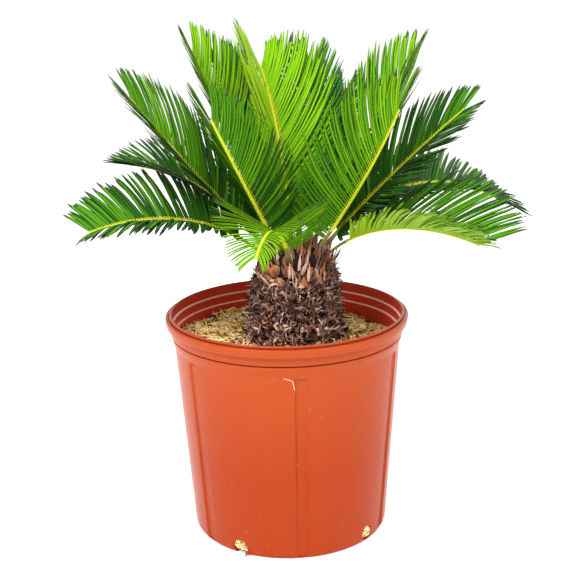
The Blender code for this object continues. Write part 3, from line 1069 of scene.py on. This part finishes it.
    def bored(self, shell: bpy.types.Object) -> bpy.types.Mesh:
        """Cut the drain holes through the foot of the wall.

        Args:
            shell: The pot before its holes.

        Returns:
            The cut mesh.
        """
        bm = bmesh.new()
        for degrees, radius, height in self.holes:
            made = bmesh.ops.create_cone(
                bm, cap_ends=True, segments=40, radius1=radius, radius2=radius, depth=0.022
            )["verts"]
            bmesh.ops.rotate(bm, verts=made, matrix=Matrix.Rotation(math.radians(90), 3, "Y"))
            bmesh.ops.translate(bm, verts=made, vec=(self.wall_radius(height), 0, height))
            bmesh.ops.rotate(bm, verts=made, matrix=Matrix.Rotation(math.radians(degrees), 3, "Z"))
        cutter = bpy.data.objects.new("bores", Workshop.to_mesh("bores", bm))
        bpy.context.scene.collection.objects.link(cutter)
        step = shell.modifiers.new("bores", "BOOLEAN")
        step.operation, step.solver, step.object = "DIFFERENCE", "EXACT", cutter
        cut = bpy.data.meshes.new_from_object(shell.evaluated_get(bpy.context.evaluated_depsgraph_get()))
        bpy.data.objects.remove(shell, do_unlink=True)
        bpy.data.objects.remove(cutter, do_unlink=True)
        cut.materials.clear()
        return cut

    def paint(self, mesh: bpy.types.Mesh) -> bpy.types.Mesh:
        """Deal out over the cut pot the outer plastic, a deeper maroon inside painted as shade and red bounce
        light, pale painted highlight on the inner ledges and bead, and painted shade in the rim's crease and
        groove.
        """
        collar_foot = self.rim_z - self.rim_band - self.collar_band
        for face in mesh.polygons:
            radius, height, facing = face.center.xy.length, face.center.z, face.normal
            # Inward faces and the floor inside take the deeper maroon copy: painted shade and red bounce
            # light inside the pot.
            inner_painted_shade = facing.xy.dot(face.center.xy) < -1e-6 and height < self.rim_z + 0.001
            # Painted shade: the crease beside the bead and the groove under the collar take a dark maroon
            # line.
            crease = -0.0010 < height - self.rim_z < 0.0018 and -0.0002 < radius - self.bead_radius < 0.0014
            at_groove = abs(radius - self.groove_radius) < 0.0002
            groove = at_groove and 0.0001 < collar_foot - height < self.groove_band
            floor = facing.z > 0.5 and height < 0.01
            face.material_index = 3 if crease or groove else 1 if inner_painted_shade or floor else 0
            low = height < collar_foot + 0.003
            edge = self.groove_radius - 0.0001 if low else self.bead_radius - self.bead_width
            # Painted highlight: up-facing faces of the inner ledges and of the bead's inner crown take pale
            # pink.
            if facing.z > 0.35 and height > self.shoulder and radius < edge:
                face.material_index = 2
        return mesh

    def build(self) -> None:
        """Build and dress the pot."""
        shell = bpy.data.objects.new("pot_shell", self.shell())
        bpy.context.scene.collection.objects.link(shell)
        scuff = (0.62, 0.40, 0.30)
        outside, inside, wear_and_highlight, crease = (
            MouldedPlastic(f"pot_plastic{part}", colour, shade, scuff, roughness, gloss).material()
            for part, colour, shade, roughness, gloss in (
                ("", (0.352, 0.054, 0.010), (0.292, 0.031, 0.002), 0.24, 0.12),
                # Deeper maroon inside: painted shade and red bounce light.
                ("_inside", (0.60, 0.042, 0.020), (0.42, 0.022, 0.010), 0.24, 0.16),
                # Pale pink: painted highlight on the ledges and bead, and scratch wear on the nick.
                ("_worn", (0.86, 0.48, 0.38), (0.68, 0.30, 0.22), 0.30, 0.16),
                # Dark maroon: painted shade in the rim's crease and groove.
                ("_crease", (0.200, 0.020, 0.008), (0.130, 0.012, 0.004), 0.30, 0.16),
            )
        )
        finishes = (outside, inside, wear_and_highlight, crease)
        body = Workshop.finished("pot_body", self.paint(self.bored(shell)), finishes, 24)
        Workshop.seat(body, "pot", "pot")
        Workshop.seat(self.torn_flap(outside), "pot")
        Workshop.seat(self.nick(wear_and_highlight), "pot")

    def nick(self, finish: bpy.types.Material) -> bpy.types.Object:
        """Build the thin bent crease at the top of the front flute.

        Args:
            finish: The pale plastic of scratch wear, which elsewhere on the pot is painted highlight.

        Returns:
            The crease's object.
        """
        swarm = Swarm(Workshop.column(6, 6))
        for x, z, slope, length in ((-0.0051, 0.2218, -0.28, 0.0104), (0.0046, 0.2192, -1.37, 0.0120)):
            way = np.array((math.cos(slope), 0.0, math.sin(slope)))
            over = np.array((-math.sin(slope), 0.0, math.cos(slope)))
            size, bend = (length, 0.0011, 0.0008), (0.05, 0.4)
            points = Workshop.curled(swarm.points, (x, 0.0, z), way, over, size, bend, (0.3, 1, 0.7, 1, 0.2))
            points[:, 1] -= np.sqrt(self.wall_radius(points[:, 2]) ** 2 - points[:, 0] ** 2)
            swarm.add(points, 0)
        return swarm.build("pot_crease", [finish], 40)

    def torn_flap(self, finish: bpy.types.Material) -> bpy.types.Object:
        """Build the small torn tongue of plastic at the foot of one front drain hole.

        Args:
            finish: The pot's outer plastic.

        Returns:
            The tongue's object.
        """
        swarm = Swarm(Workshop.column(8, 5))
        angle = math.radians(self.holes[3][0] + 5.6)
        level = np.array((math.cos(angle), math.sin(angle), 0.0))
        over = np.array((-math.sin(angle), math.cos(angle), 0.0))
        x, y, z = swarm.points.T
        slim = np.interp(z, (0, 0.5, 1), (1.0, 0.85, 0.25))
        reach = self.wall_foot - 0.0045 + 0.0105 * z
        height = 0.0052 - 0.0030 * z + y * 0.0006 + 0.0012 * x * z
        points = np.outer(reach, level) + np.outer(x * slim * 0.0034 - 0.002 * z, over)
        swarm.add(points + np.outer(height, (0, 0, 1)), 0)
        return swarm.build("pot_torn_flap", [finish], 40)


@dataclass
class Fibre:
    """The coarse straw-like fibre that fills the pot, over a dark bed, partly its own brown and partly
    painted shade between the strands.
    """

    holes: tuple[tuple[float, float, float], ...] = Pot.holes
    seed: int = 5
    strands: int = 4300
    crumbs: int = 900
    reach: float = 0.1262

    @staticmethod
    def height(x: float, y: float) -> float:
        """Give the height of the fibre's surface, as the solid has it."""
        away = math.hypot(x - TRUNK_X, y)
        share = min(1.0, max(0.0, (away - 0.066) / 0.05))
        lumps = 0.0022 * math.sin(61 * x + 1) * math.cos(53 * y) - 0.0018 * math.sin(90 * y + 2)
        return SOIL_Z + share * (lumps - 0.004 - 0.035 * x)

    def spot(self, chance: random.Random) -> Vector:
        """Pick a spot on the surface between the trunk and the wall."""
        while True:
            angle = chance.uniform(0, math.tau)
            radius = self.reach * math.sqrt(chance.random())
            x, y = radius * math.cos(angle), radius * math.sin(angle)
            if math.hypot(x - TRUNK_X, y) > 0.050:
                return Vector((x, y, self.height(x, y)))

    def strand_points(self, cage: np.ndarray, chance: random.Random) -> tuple[np.ndarray, float]:
        """Bend one strand over the bed.

        Args:
            cage: The template's points.
            chance: The source of its variety.

        Returns:
            The bent points and how near the strand lies to the trunk, from 0 to 1.
        """
        root = self.spot(chance)
        turn, tilt = chance.uniform(0, math.tau), chance.gauss(0.10, 0.26)
        size = (chance.uniform(0.006, 0.014), chance.uniform(0.0011, 0.0023), chance.uniform(0.0006, 0.0010))
        way = np.array((math.cos(turn) * math.cos(tilt), math.sin(turn) * math.cos(tilt), math.sin(tilt)))
        over = np.array((-math.sin(turn), math.cos(turn), 0.0))
        if chance.random() < 0.6:
            over = np.cross(way, over)
        bend = (chance.gauss(0, 1.3), chance.gauss(0, 0.8))
        points = Workshop.curled(cage, (0, 0, 0), way, over, size, bend, (0.7, 1, 1, 0.75, 0.3))
        points += np.array(root[:]) - points.mean(axis=0)
        points[:, 2] += 0.0006 + 0.0026 * chance.random()
        squeeze = np.minimum(1.0, 0.1268 / np.maximum(np.hypot(points[:, 0], points[:, 1]), 1e-6))
        points[:, :2] *= squeeze[:, None]
        near = max(0.0, 1 - (math.hypot(root.x - TRUNK_X, root.y) - 0.052) / 0.020)
        return points, near

    def plugs(self, chance: random.Random, finishes: list[bpy.types.Material]) -> None:
        """Fill the drain holes with the strands that show in them.

        Args:
            chance: The source of variety.
            finishes: The straw finishes.
        """
        swarm = Swarm(Workshop.column(4, 4))
        for degrees, radius, height in self.holes:
            for _ in range(70):
                spin, away = chance.uniform(0, math.tau), radius * 0.95 * math.sqrt(chance.random())
                turn = math.radians(degrees) + away * math.cos(spin) / 0.114
                deep = chance.uniform(0.1105, 0.1136)
                rise = max(0.0055, height + away * math.sin(spin))
                root = (deep * math.cos(turn), deep * math.sin(turn), rise)
                lean, side = chance.uniform(-1.2, 1.2), chance.choice((-1, 1))
                across = np.array((-math.sin(turn), math.cos(turn), 0.0)) * side
                way = across * math.cos(lean) + np.array((0, 0, math.sin(lean)))
                over = np.cross(way, (math.cos(turn), math.sin(turn), 0.0))
                size = (chance.uniform(0.004, 0.009), chance.uniform(0.0011, 0.0019), 0.0006)
                bend = (chance.uniform(-0.2, 0.5), chance.uniform(-0.6, 0.6))
                points = Workshop.curled(swarm.points, root, way, over, size, bend, (0.8, 1, 0.8, 0.3))
                points[:, 2] = np.maximum(points[:, 2], 0.0046)
                swarm.add(points, chance.choices(range(4), (6, 4, 2, 2))[0])
        Workshop.seat(swarm.build("fibre_in_holes", finishes, 60), "fibre")

    def build(self) -> None:
        """Build the strands and crumbs and dress the bed."""
        chance = random.Random(self.seed)
        straws = [
            DryMatter("straw_gold", (0.95, 0.66, 0.23), (0.78, 0.46, 0.12)),
            DryMatter("straw_pale", (0.98, 0.84, 0.56), (0.90, 0.68, 0.36)),
            DryMatter("straw_ochre", (0.66, 0.33, 0.10), (0.44, 0.19, 0.05)),
            DryMatter("straw_brown", (0.16, 0.08, 0.045), (0.09, 0.04, 0.025)),
        ]
        finishes = [straw.material() for straw in straws]
        swarm = Swarm(Workshop.column(4, 4))
        for _ in range(self.strands):
            points, near = self.strand_points(swarm.points, chance)
            weights = (7, 5, 3, 1.5) if chance.random() > near else (1, 2, 3, 6)
            swarm.add(points, chance.choices(range(4), weights)[0])
        Workshop.seat(swarm.build("fibre_strands", finishes, 60), "fibre")
        self.plugs(chance, finishes)
        self.scatter_crumbs(chance, finishes)
        # The bed's dark brown is partly the fill's own colour and partly painted shade in the gaps between
        # the strands.
        bed = DryMatter("fibre_bed", (0.16, 0.085, 0.035), (0.05, 0.024, 0.014), 500.0, 0.004).material()
        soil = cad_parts["soil"]
        soil.data.materials.clear()
        soil.data.materials.append(bed)

    def scatter_crumbs(self, chance: random.Random, finishes: list[bpy.types.Material]) -> None:
        """Scatter bark crumbs, thickest round the trunk.

        Args:
            chance: The source of variety.
            finishes: The straw finishes, whose browns the crumbs share.
        """
        bm = bmesh.new()
        bmesh.ops.create_icosphere(bm, subdivisions=1, radius=1.0)
        swarm = Swarm(Workshop.to_mesh("crumb", bm))
        dark = DryMatter("crumb_umber", (0.10, 0.055, 0.035), (0.045, 0.026, 0.02)).material()
        chip = DryMatter("crumb_rust", (0.36, 0.15, 0.06), (0.20, 0.08, 0.035)).material()
        for _ in range(self.crumbs):
            root = self.spot(chance)
            if chance.random() < 0.7:
                angle, away = chance.uniform(0, math.tau), chance.uniform(0.050, 0.072)
                root = Vector((TRUNK_X + away * math.cos(angle), away * math.sin(angle), SOIL_Z))
            size = chance.uniform(0.0010, 0.0036)
            spin = chance.uniform(0, math.tau)
            turn = Matrix.Rotation(spin, 3, Vector((chance.random(), 1, chance.random())))
            shape = turn @ Matrix.Diagonal((1.0, chance.uniform(0.4, 0.9), chance.uniform(0.25, 0.6)))
            rough = np.array([1 + 0.3 * chance.uniform(-1, 1) for _ in swarm.points])[:, None]
            points = swarm.points * rough @ np.array(shape).T * size + np.array(root[:])
            swarm.add(points, chance.choices((0, 1, 2), (6, 3, 3))[0])
        Workshop.seat(swarm.build("fibre_crumbs", [dark, chip, finishes[2]], 40), "fibre")


@dataclass
class Trunk:
    """The short armoured trunk: a core painted near-black as shade, spirals of shaggy leaf bases and a felted
    head.

    A size holds the ranges of a length, a width and a depth, and a bend those of a turn and a twist.
    """

    foot_radius: float = 0.0500
    top_radius: float = 0.0400
    flare: float = 0.0035
    rows: int = 11
    around: int = 31
    stub_size: tuple[Range, ...] = ((0.006, 0.0105), (0.006, 0.0110), (0.0040, 0.0075))
    stub_bend: tuple[Range, ...] = ((-0.3, 0.9), (-0.7, 0.7))
    stub_slim: tuple[float, ...] = (1, 1.1, 1.05, 0.95, 0.72)
    flake_count: int = 2200
    narrow_flake: Range = (0.0009, 0.0017)
    broad_flake: Range = (0.0018, 0.0038)
    face_rows: Range = (0.2960, 0.3045)
    faces_around: int = 13
    face_size: tuple[Range, ...] = ((0.012, 0.016), (0.012, 0.016), (0.005, 0.008))
    face_bend: tuple[Range, ...] = ((-0.2, 0.4), (-0.4, 0.4))
    strip_count: int = 190
    strip_size: tuple[Range, ...] = ((0.011, 0.024), (0.0012, 0.0034), (0.0006, 0.0011))
    scale_count: int = 230
    scale_size: tuple[Range, ...] = ((0.013, 0.024), (0.0022, 0.0052), (0.0010, 0.0022))
    scale_bend: tuple[Range, ...] = ((-0.5, 0.4), (-0.8, 0.8))
    leaflet_count: int = 18
    leaflet_size: tuple[Range, ...] = ((0.018, 0.034), (0.0018, 0.0036))
    leaflet_bend: tuple[Range, ...] = ((-0.5, 0.8), (-0.8, 0.8))
    foot_lean: float = 0.0045
    span: float = ARMOUR_Z - SOIL_Z
    seed: int = 8

    def radius(self, share: float) -> float:
        """Give the core's radius at a share of the armoured height."""
        share = min(max(share, 0.0), 1.0)
        taper = (self.top_radius - self.foot_radius) * share**2
        return self.foot_radius + taper + self.flare * (1 - share) ** 3

    def core(self, finish: bpy.types.Material) -> None:
        """Build the core under the scales, with its domed head.

        Args:
            finish: The core's material.
        """
        profile = [(0.0, SOIL_Z - 0.004), (self.radius(0) - 0.002, SOIL_Z - 0.004)]
        for row in range(13):
            share = row / 12
            profile.append((self.radius(share) - 0.002, SOIL_Z + (ARMOUR_Z - SOIL_Z) * share))
        for row in range(1, 7):
            angle = math.pi / 2 * row / 6.6
            height = ARMOUR_Z + (HEAD_Z - 0.001 - ARMOUR_Z) * math.sin(angle)
            profile.append(((self.top_radius - 0.002) * math.cos(angle), height))
        profile.append((0.0, HEAD_Z - 0.0005))
        bm = Workshop.spun(profile, 72)
        for vert in bm.verts:
            if vert.co.z > SOIL_Z:
                push = noise.noise(vert.co * 160) * 0.0016
                vert.co.xy += vert.co.xy.normalized() * push
            vert.co.x += self.axis_x(vert.co.z)
        piece = Workshop.finished("trunk_core", Workshop.to_mesh("trunk_core", bm), [finish], 60)
        Workshop.seat(piece, "trunk", "trunk")

    @staticmethod
    def perch(angle: float, lean: float, swing: float) -> tuple[np.ndarray, np.ndarray]:
        """Give the way out and the way across of a piece that stands on the trunk.

        Args:
            angle: Its place round the trunk, in radians.
            lean: Its angle above the level, in radians.
            swing: Its turn to one side, in radians.

        Returns:
            The way out and the way across it.
        """
        turn = angle + swing
        level = np.array((math.cos(turn), math.sin(turn), 0.0))
        way = level * math.cos(lean) + np.array((0.0, 0.0, math.sin(lean)))
        return way, np.array((-math.sin(turn), math.cos(turn), 0.0))

    def axis_x(self, z: float) -> float:
        """Give where the trunk's axis stands at a height, for it leans a little to the left at its foot."""
        return TRUNK_X - self.foot_lean * max(0.0, (ARMOUR_Z - z) / self.span)

    def foot(self, angle: float, radius: float, z: float) -> tuple[float, float, float]:
        """Give a point at a radius round the trunk's axis."""
        return (self.axis_x(z) + radius * math.cos(angle), radius * math.sin(angle), z)

    def stubs(self, finishes: list[bpy.types.Material]) -> None:
        """Build the rows of short cupped leaf bases, each with a pale lip round a cavity painted near-black
        as shade.

        Args:
            finishes: Near-black painted shade, umber, plum, tan and rust dry matter.
        """
        chance = random.Random(self.seed)
        swarm = Swarm(Workshop.column(6, 5))
        t = swarm.points[:, 2]
        swarm.points[:, 2] = np.interp(t, (0, 0.8, 1.0), (0, 1, 0.999))
        upper, rise = swarm.centres[:, 1] > 0.2, swarm.centres[:, 2]
        # The end cap and last stretch sink into a cavity painted near-black as shade.
        lip, cavity_shade = (rise > 0.6) & (rise < 0.8) & upper, rise > 0.8
        for row in range(self.rows):
            for column in range(self.around):
                share = 0.88 * (row + chance.uniform(-0.3, 0.3)) / self.rows
                angle = math.tau * (column + row * 0.5 + chance.uniform(-0.25, 0.25)) / self.around
                way, over = self.perch(angle, chance.uniform(-0.15, 0.75), chance.uniform(-0.35, 0.35))
                size, bend = Workshop.draw(chance, self.stub_size), Workshop.draw(chance, self.stub_bend)
                height = SOIL_Z + 0.003 + self.span * max(share, 0.0)
                root = self.foot(angle, self.radius(share) - 0.0035, height)
                points = Workshop.curled(swarm.points, root, way, over, size, bend, self.stub_slim)
                sunk = np.where(t > 0.9, 0.45 * size[0], 0.0)
                middle = points[t > 0.9].mean(axis=0)
                points = np.where((t > 0.9)[:, None], middle + (points - middle) * 0.70, points)
                points = points - np.outer(sunk, way)
                points *= 1 + np.array([[chance.uniform(-1, 1) * 0.0025] for _ in t]) * (t > 0.1)[:, None]
                body = chance.choices((1, 2, 3, 4), (5, 6, 1.6, 0.8))[0]
                rim = chance.choices((2, 3, 4), (4, 6, 1))[0]
                swarm.add(points, np.where(cavity_shade, 0, np.where(lip, rim, body)))
        Workshop.seat(swarm.build("trunk_leaf_bases", finishes, 32), "trunk", "trunk")

    def flakes(self, finishes: list[bpy.types.Material]) -> None:
        """Build the curled flakes and frayed strips that crowd between the leaf bases.

        Args:
            finishes: Near-black painted shade, umber, plum, tan and rust dry matter.
        """
        chance = random.Random(self.seed + 1)
        swarm = Swarm(Workshop.column(4, 5))
        for index in range(self.flake_count):
            share = chance.uniform(-0.03, 0.89)
            angle = chance.uniform(0, math.tau)
            way, over = self.perch(angle, chance.gauss(0.45, 0.65), chance.gauss(0, 0.75))
            if chance.random() < 0.5:
                over = np.cross(way, over)
            narrow = index % 5 < 3
            width = chance.uniform(*(self.narrow_flake if narrow else self.broad_flake))
            size = (chance.uniform(0.006, 0.0125), width, chance.uniform(0.0005, 0.0009))
            bend = (chance.gauss(0, 1.4), chance.gauss(0, 1.0))
            reach = self.radius(share) + chance.uniform(-0.0005, 0.0030)
            root = self.foot(angle, reach, SOIL_Z + 0.002 + self.span * max(share, 0.0))
            points = Workshop.curled(swarm.points, root, way, over, size, bend, (0.8, 1, 0.95, 0.7, 0.25))
            points[:, 2] = np.maximum(points[:, 2], SOIL_Z - 0.003)
            pale = (7 if narrow else 1) + (2 if share < 0.35 else 0)
            swarm.add(points, chance.choices(range(5), (2, 6, 5, pale, 0.8))[0])
        Workshop.seat(swarm.build("trunk_flakes", finishes, 60), "trunk", "trunk")

    def patches(self, finishes: list[bpy.types.Material]) -> None:
        """Build the ring of smooth rust-coloured leaf-base faces under the head.

        Args:
            finishes: The leaf-base faces' own finish and rust dry matter.
        """
        chance = random.Random(self.seed + 4)
        swarm = Swarm(Workshop.column(6, 5))
        for row, height in enumerate(self.face_rows):
            for column in range(self.faces_around):
                angle = math.tau * (column + row * 0.5 + chance.uniform(-0.15, 0.15)) / self.faces_around
                way, over = self.perch(angle, chance.uniform(1.0, 1.35), chance.uniform(-0.25, 0.25))
                size = Workshop.draw(chance, self.face_size)
                reach = self.top_radius + 0.0006 - 0.004 * row
                root = self.foot(angle, reach, height + chance.uniform(-0.002, 0.002))
                bend = Workshop.draw(chance, self.face_bend)
                points = Workshop.curled(swarm.points, root, way, over, size, bend, (0.7, 1, 1, 0.7, 0.3))
                points += np.array([[chance.uniform(-1, 1) * 0.0008 for _ in range(3)] for _ in points])
                swarm.add(points, chance.choices((0, 1), (6, 3))[0])
        Workshop.seat(swarm.build("trunk_base_faces", finishes, 25), "trunk", "trunk")

    def strips(self, finishes: list[bpy.types.Material]) -> None:
        """Build the tall dry strips that stand before and between the leaf-base faces.

        Args:
            finishes: Near-black painted shade, umber, plum, tan and rust dry matter.
        """
        chance = random.Random(self.seed + 5)
        swarm = Swarm(Workshop.column(4, 6))
        for _ in range(self.strip_count):
            angle, place = chance.uniform(0, math.tau), chance.uniform(0.286, 0.309)
            way, over = self.perch(angle, math.radians(chance.uniform(52, 88)), chance.gauss(0, 0.6))
            size = Workshop.draw(chance, self.strip_size)
            root = self.foot(angle, self.top_radius + chance.uniform(0.001, 0.0050), place)
            bend = (chance.gauss(0.1, 0.7), chance.gauss(0, 1.0))
            points = Workshop.curled(swarm.points, root, way, over, size, bend, (0.8, 1, 0.9, 0.6, 0.15))
            swarm.add(points, chance.choices(range(5), (0, 3, 5, 6, 1))[0])
        Workshop.seat(swarm.build("trunk_dry_strips", finishes, 60), "trunk", "trunk")

    def head(self, finishes: list[bpy.types.Material]) -> None:
        """Build the upright scales round the foot of the fronds, felted towards the middle.

        Args:
            finishes: Felt, pale felt, tan and rust dry matter.
        """
        chance = random.Random(self.seed + 2)
        swarm = Swarm(Workshop.column(6, 6))
        for index in range(self.scale_count):
            share = index / self.scale_count
            angle = index * 2.39996 + chance.uniform(-0.2, 0.2)
            away = 0.0405 - 0.028 * share
            climb = math.sqrt(max(0.0, 1 - (away / 0.042) ** 2))
            place = ARMOUR_Z - 0.010 + (HEAD_Z - ARMOUR_Z) * climb + chance.uniform(-0.003, 0.003)
            way, over = self.perch(angle, math.radians(chance.uniform(60, 86)), chance.uniform(-0.4, 0.4))
            size = Workshop.draw(chance, self.scale_size)
            bend = Workshop.draw(chance, self.scale_bend)
            root = self.foot(angle, away, place)
            points = Workshop.curled(swarm.points, root, way, over, size, bend, (1, 1, 0.85, 0.5, 0.08))
            swarm.add(points, chance.choices(range(4), (5, 2, 5, 4) if share > 0.4 else (2, 3, 8, 2))[0])
        Workshop.seat(swarm.build("trunk_head_scales", finishes, 35), "trunk", "trunk")

    def dead_leaflets(self, finish: bpy.types.Material) -> None:
        """Build the few thin dry leaflets that hang on at the right of the head.

        Args:
            finish: Their dry material.
        """
        chance = random.Random(self.seed + 3)
        swarm = Swarm(Workshop.column(4, 6))
        for _ in range(self.leaflet_count):
            angle = math.radians(chance.uniform(-50, 25))
            way, over = self.perch(angle, math.radians(chance.uniform(5, 55)), chance.uniform(-0.3, 0.3))
            size = (*Workshop.draw(chance, self.leaflet_size), 0.0006)
            root = self.foot(angle, 0.040, chance.uniform(0.300, 0.318))
            bend = Workshop.draw(chance, self.leaflet_bend)
            swarm.add(Workshop.curled(swarm.points, root, way, over, size, bend, (0.7, 1, 0.8, 0.2)), 0)
        Workshop.seat(swarm.build("trunk_dry_leaflets", [finish], 60), "trunk", "trunk")

    def build(self) -> None:
        """Build and dress the trunk."""
        # Painted shade: near-black for the cavities, the core and the gaps between leaf bases.
        cavity_shade = DryMatter("bark_hollow", (0.020, 0.008, 0.007), (0.010, 0.004, 0.004)).material()
        umber = DryMatter("bark_umber", (0.104, 0.042, 0.029), (0.030, 0.010, 0.007)).material()
        plum = DryMatter("bark_plum", (0.255, 0.145, 0.120), (0.085, 0.038, 0.032)).material()
        tan = DryMatter("bark_tan", (0.74, 0.50, 0.37), (0.44, 0.26, 0.18)).material()
        rust = DryMatter("bark_rust", (0.44, 0.19, 0.085), (0.24, 0.09, 0.04)).material()
        base = DryMatter("leaf_base_face", (0.56, 0.21, 0.075), (0.20, 0.055, 0.02), 520.0, 0.0016).material()
        felt = DryMatter("head_felt", (0.34, 0.14, 0.06), (0.17, 0.065, 0.03)).material()
        self.core(cavity_shade)
        armour = [cavity_shade, umber, plum, tan, rust]
        self.stubs(armour)
        self.flakes(armour)
        self.patches([base, rust])
        self.strips(armour)
        self.head([felt, tan, plum, rust])
        self.dead_leaflets(umber)


@dataclass
class Studio:
    """The pale floor, the soft light and the camera."""

    aim: Vector = field(default_factory=lambda: Vector((0.0, 0.0, 0.25)))
    distance: float = 1.3
    elevation: float = 17.3
    focal_pixels: float = 1121.0
    aim_pixel: tuple[float, float] = (286.2, 316.4)
    roll: float = -1.15

    def camera(self) -> None:
        """Set the camera at the photographed view."""
        rise = math.radians(self.elevation)
        back = Vector((0.0, -math.cos(rise), math.sin(rise)))
        lens = bpy.data.cameras.new("view")
        lens.sensor_width = 36.0
        lens.lens = 36.0 * self.focal_pixels / PHOTO_SIDE
        eye = bpy.data.objects.new("view", lens)
        bpy.context.scene.collection.objects.link(eye)
        eye.location = self.aim + back * self.distance
        middle = PHOTO_SIDE / 2
        pan = math.atan((middle - self.aim_pixel[0]) / self.focal_pixels)
        tilt = math.atan((self.aim_pixel[1] - middle) / self.focal_pixels)
        looking = (-back).to_track_quat("-Z", "Y").to_matrix()
        turned = looking @ Matrix.Rotation(tilt, 3, "X") @ Matrix.Rotation(-pan, 3, "Y")
        eye.rotation_euler = (turned @ Matrix.Rotation(math.radians(self.roll), 3, "Z")).to_euler()
        bpy.context.scene.camera = eye

    def lamp(self, name: str, place: Colour, size: float, power: float) -> None:
        """Hang one soft square lamp that faces the plant.

        Args:
            name: The lamp's name.
            place: Where it hangs.
            size: Its side.
            power: Its power in watts.
        """
        light = bpy.data.lights.new(name, "AREA")
        light.size, light.energy = size, power
        made = bpy.data.objects.new(name, light)
        made.location = place
        made.rotation_euler = (Vector((0, 0, 0.3)) - Vector(place)).to_track_quat("-Z", "Y").to_euler()
        bpy.context.scene.collection.objects.link(made)

    def floor(self) -> None:
        """Lay the pale floor."""
        bm = bmesh.new()
        bmesh.ops.create_grid(bm, x_segments=8, y_segments=8, size=6.0)
        graph = Graph("floor")
        haze = graph.noise(3.0, 2.0)
        pale = graph.blend(haze, (0.955, 0.955, 0.955), (0.975, 0.975, 0.975))
        finish = graph.dress(Base_Color=pale, Roughness=0.9)
        ground = Workshop.finished("floor", Workshop.to_mesh("floor", bm), [finish], 30)

    def build(self) -> None:
        """Set the stage."""
        self.camera()
        self.floor()
        self.lamp("key", (-1.00, -1.20, 1.75), 1.1, 52.0)
        self.lamp("fill", (1.25, -1.15, 1.85), 1.2, 37.0)
        self.lamp("back", (0.4, 1.8, 1.6), 1.6, 14.0)
        world = bpy.data.worlds.new("studio")
        world.use_nodes = True
        sky = world.node_tree.nodes["Background"]
        sky.inputs["Color"].default_value = (1.0, 1.0, 1.0, 1.0)
        sky.inputs["Strength"].default_value = 1.03
        bpy.context.scene.world = world
        bpy.context.scene.view_settings.view_transform = "Standard"


def main() -> None:
    """Build the stage and every sub-assembly in order."""
    logging.basicConfig(level=logging.INFO, format="%(message)s")
    for sub_assembly in (Studio(), Pot(), Fibre(), Trunk(), Crown()):
        sub_assembly.build()
        LOG.info("%s built", type(sub_assembly).__name__)


if __name__ == "__main__":
    main()
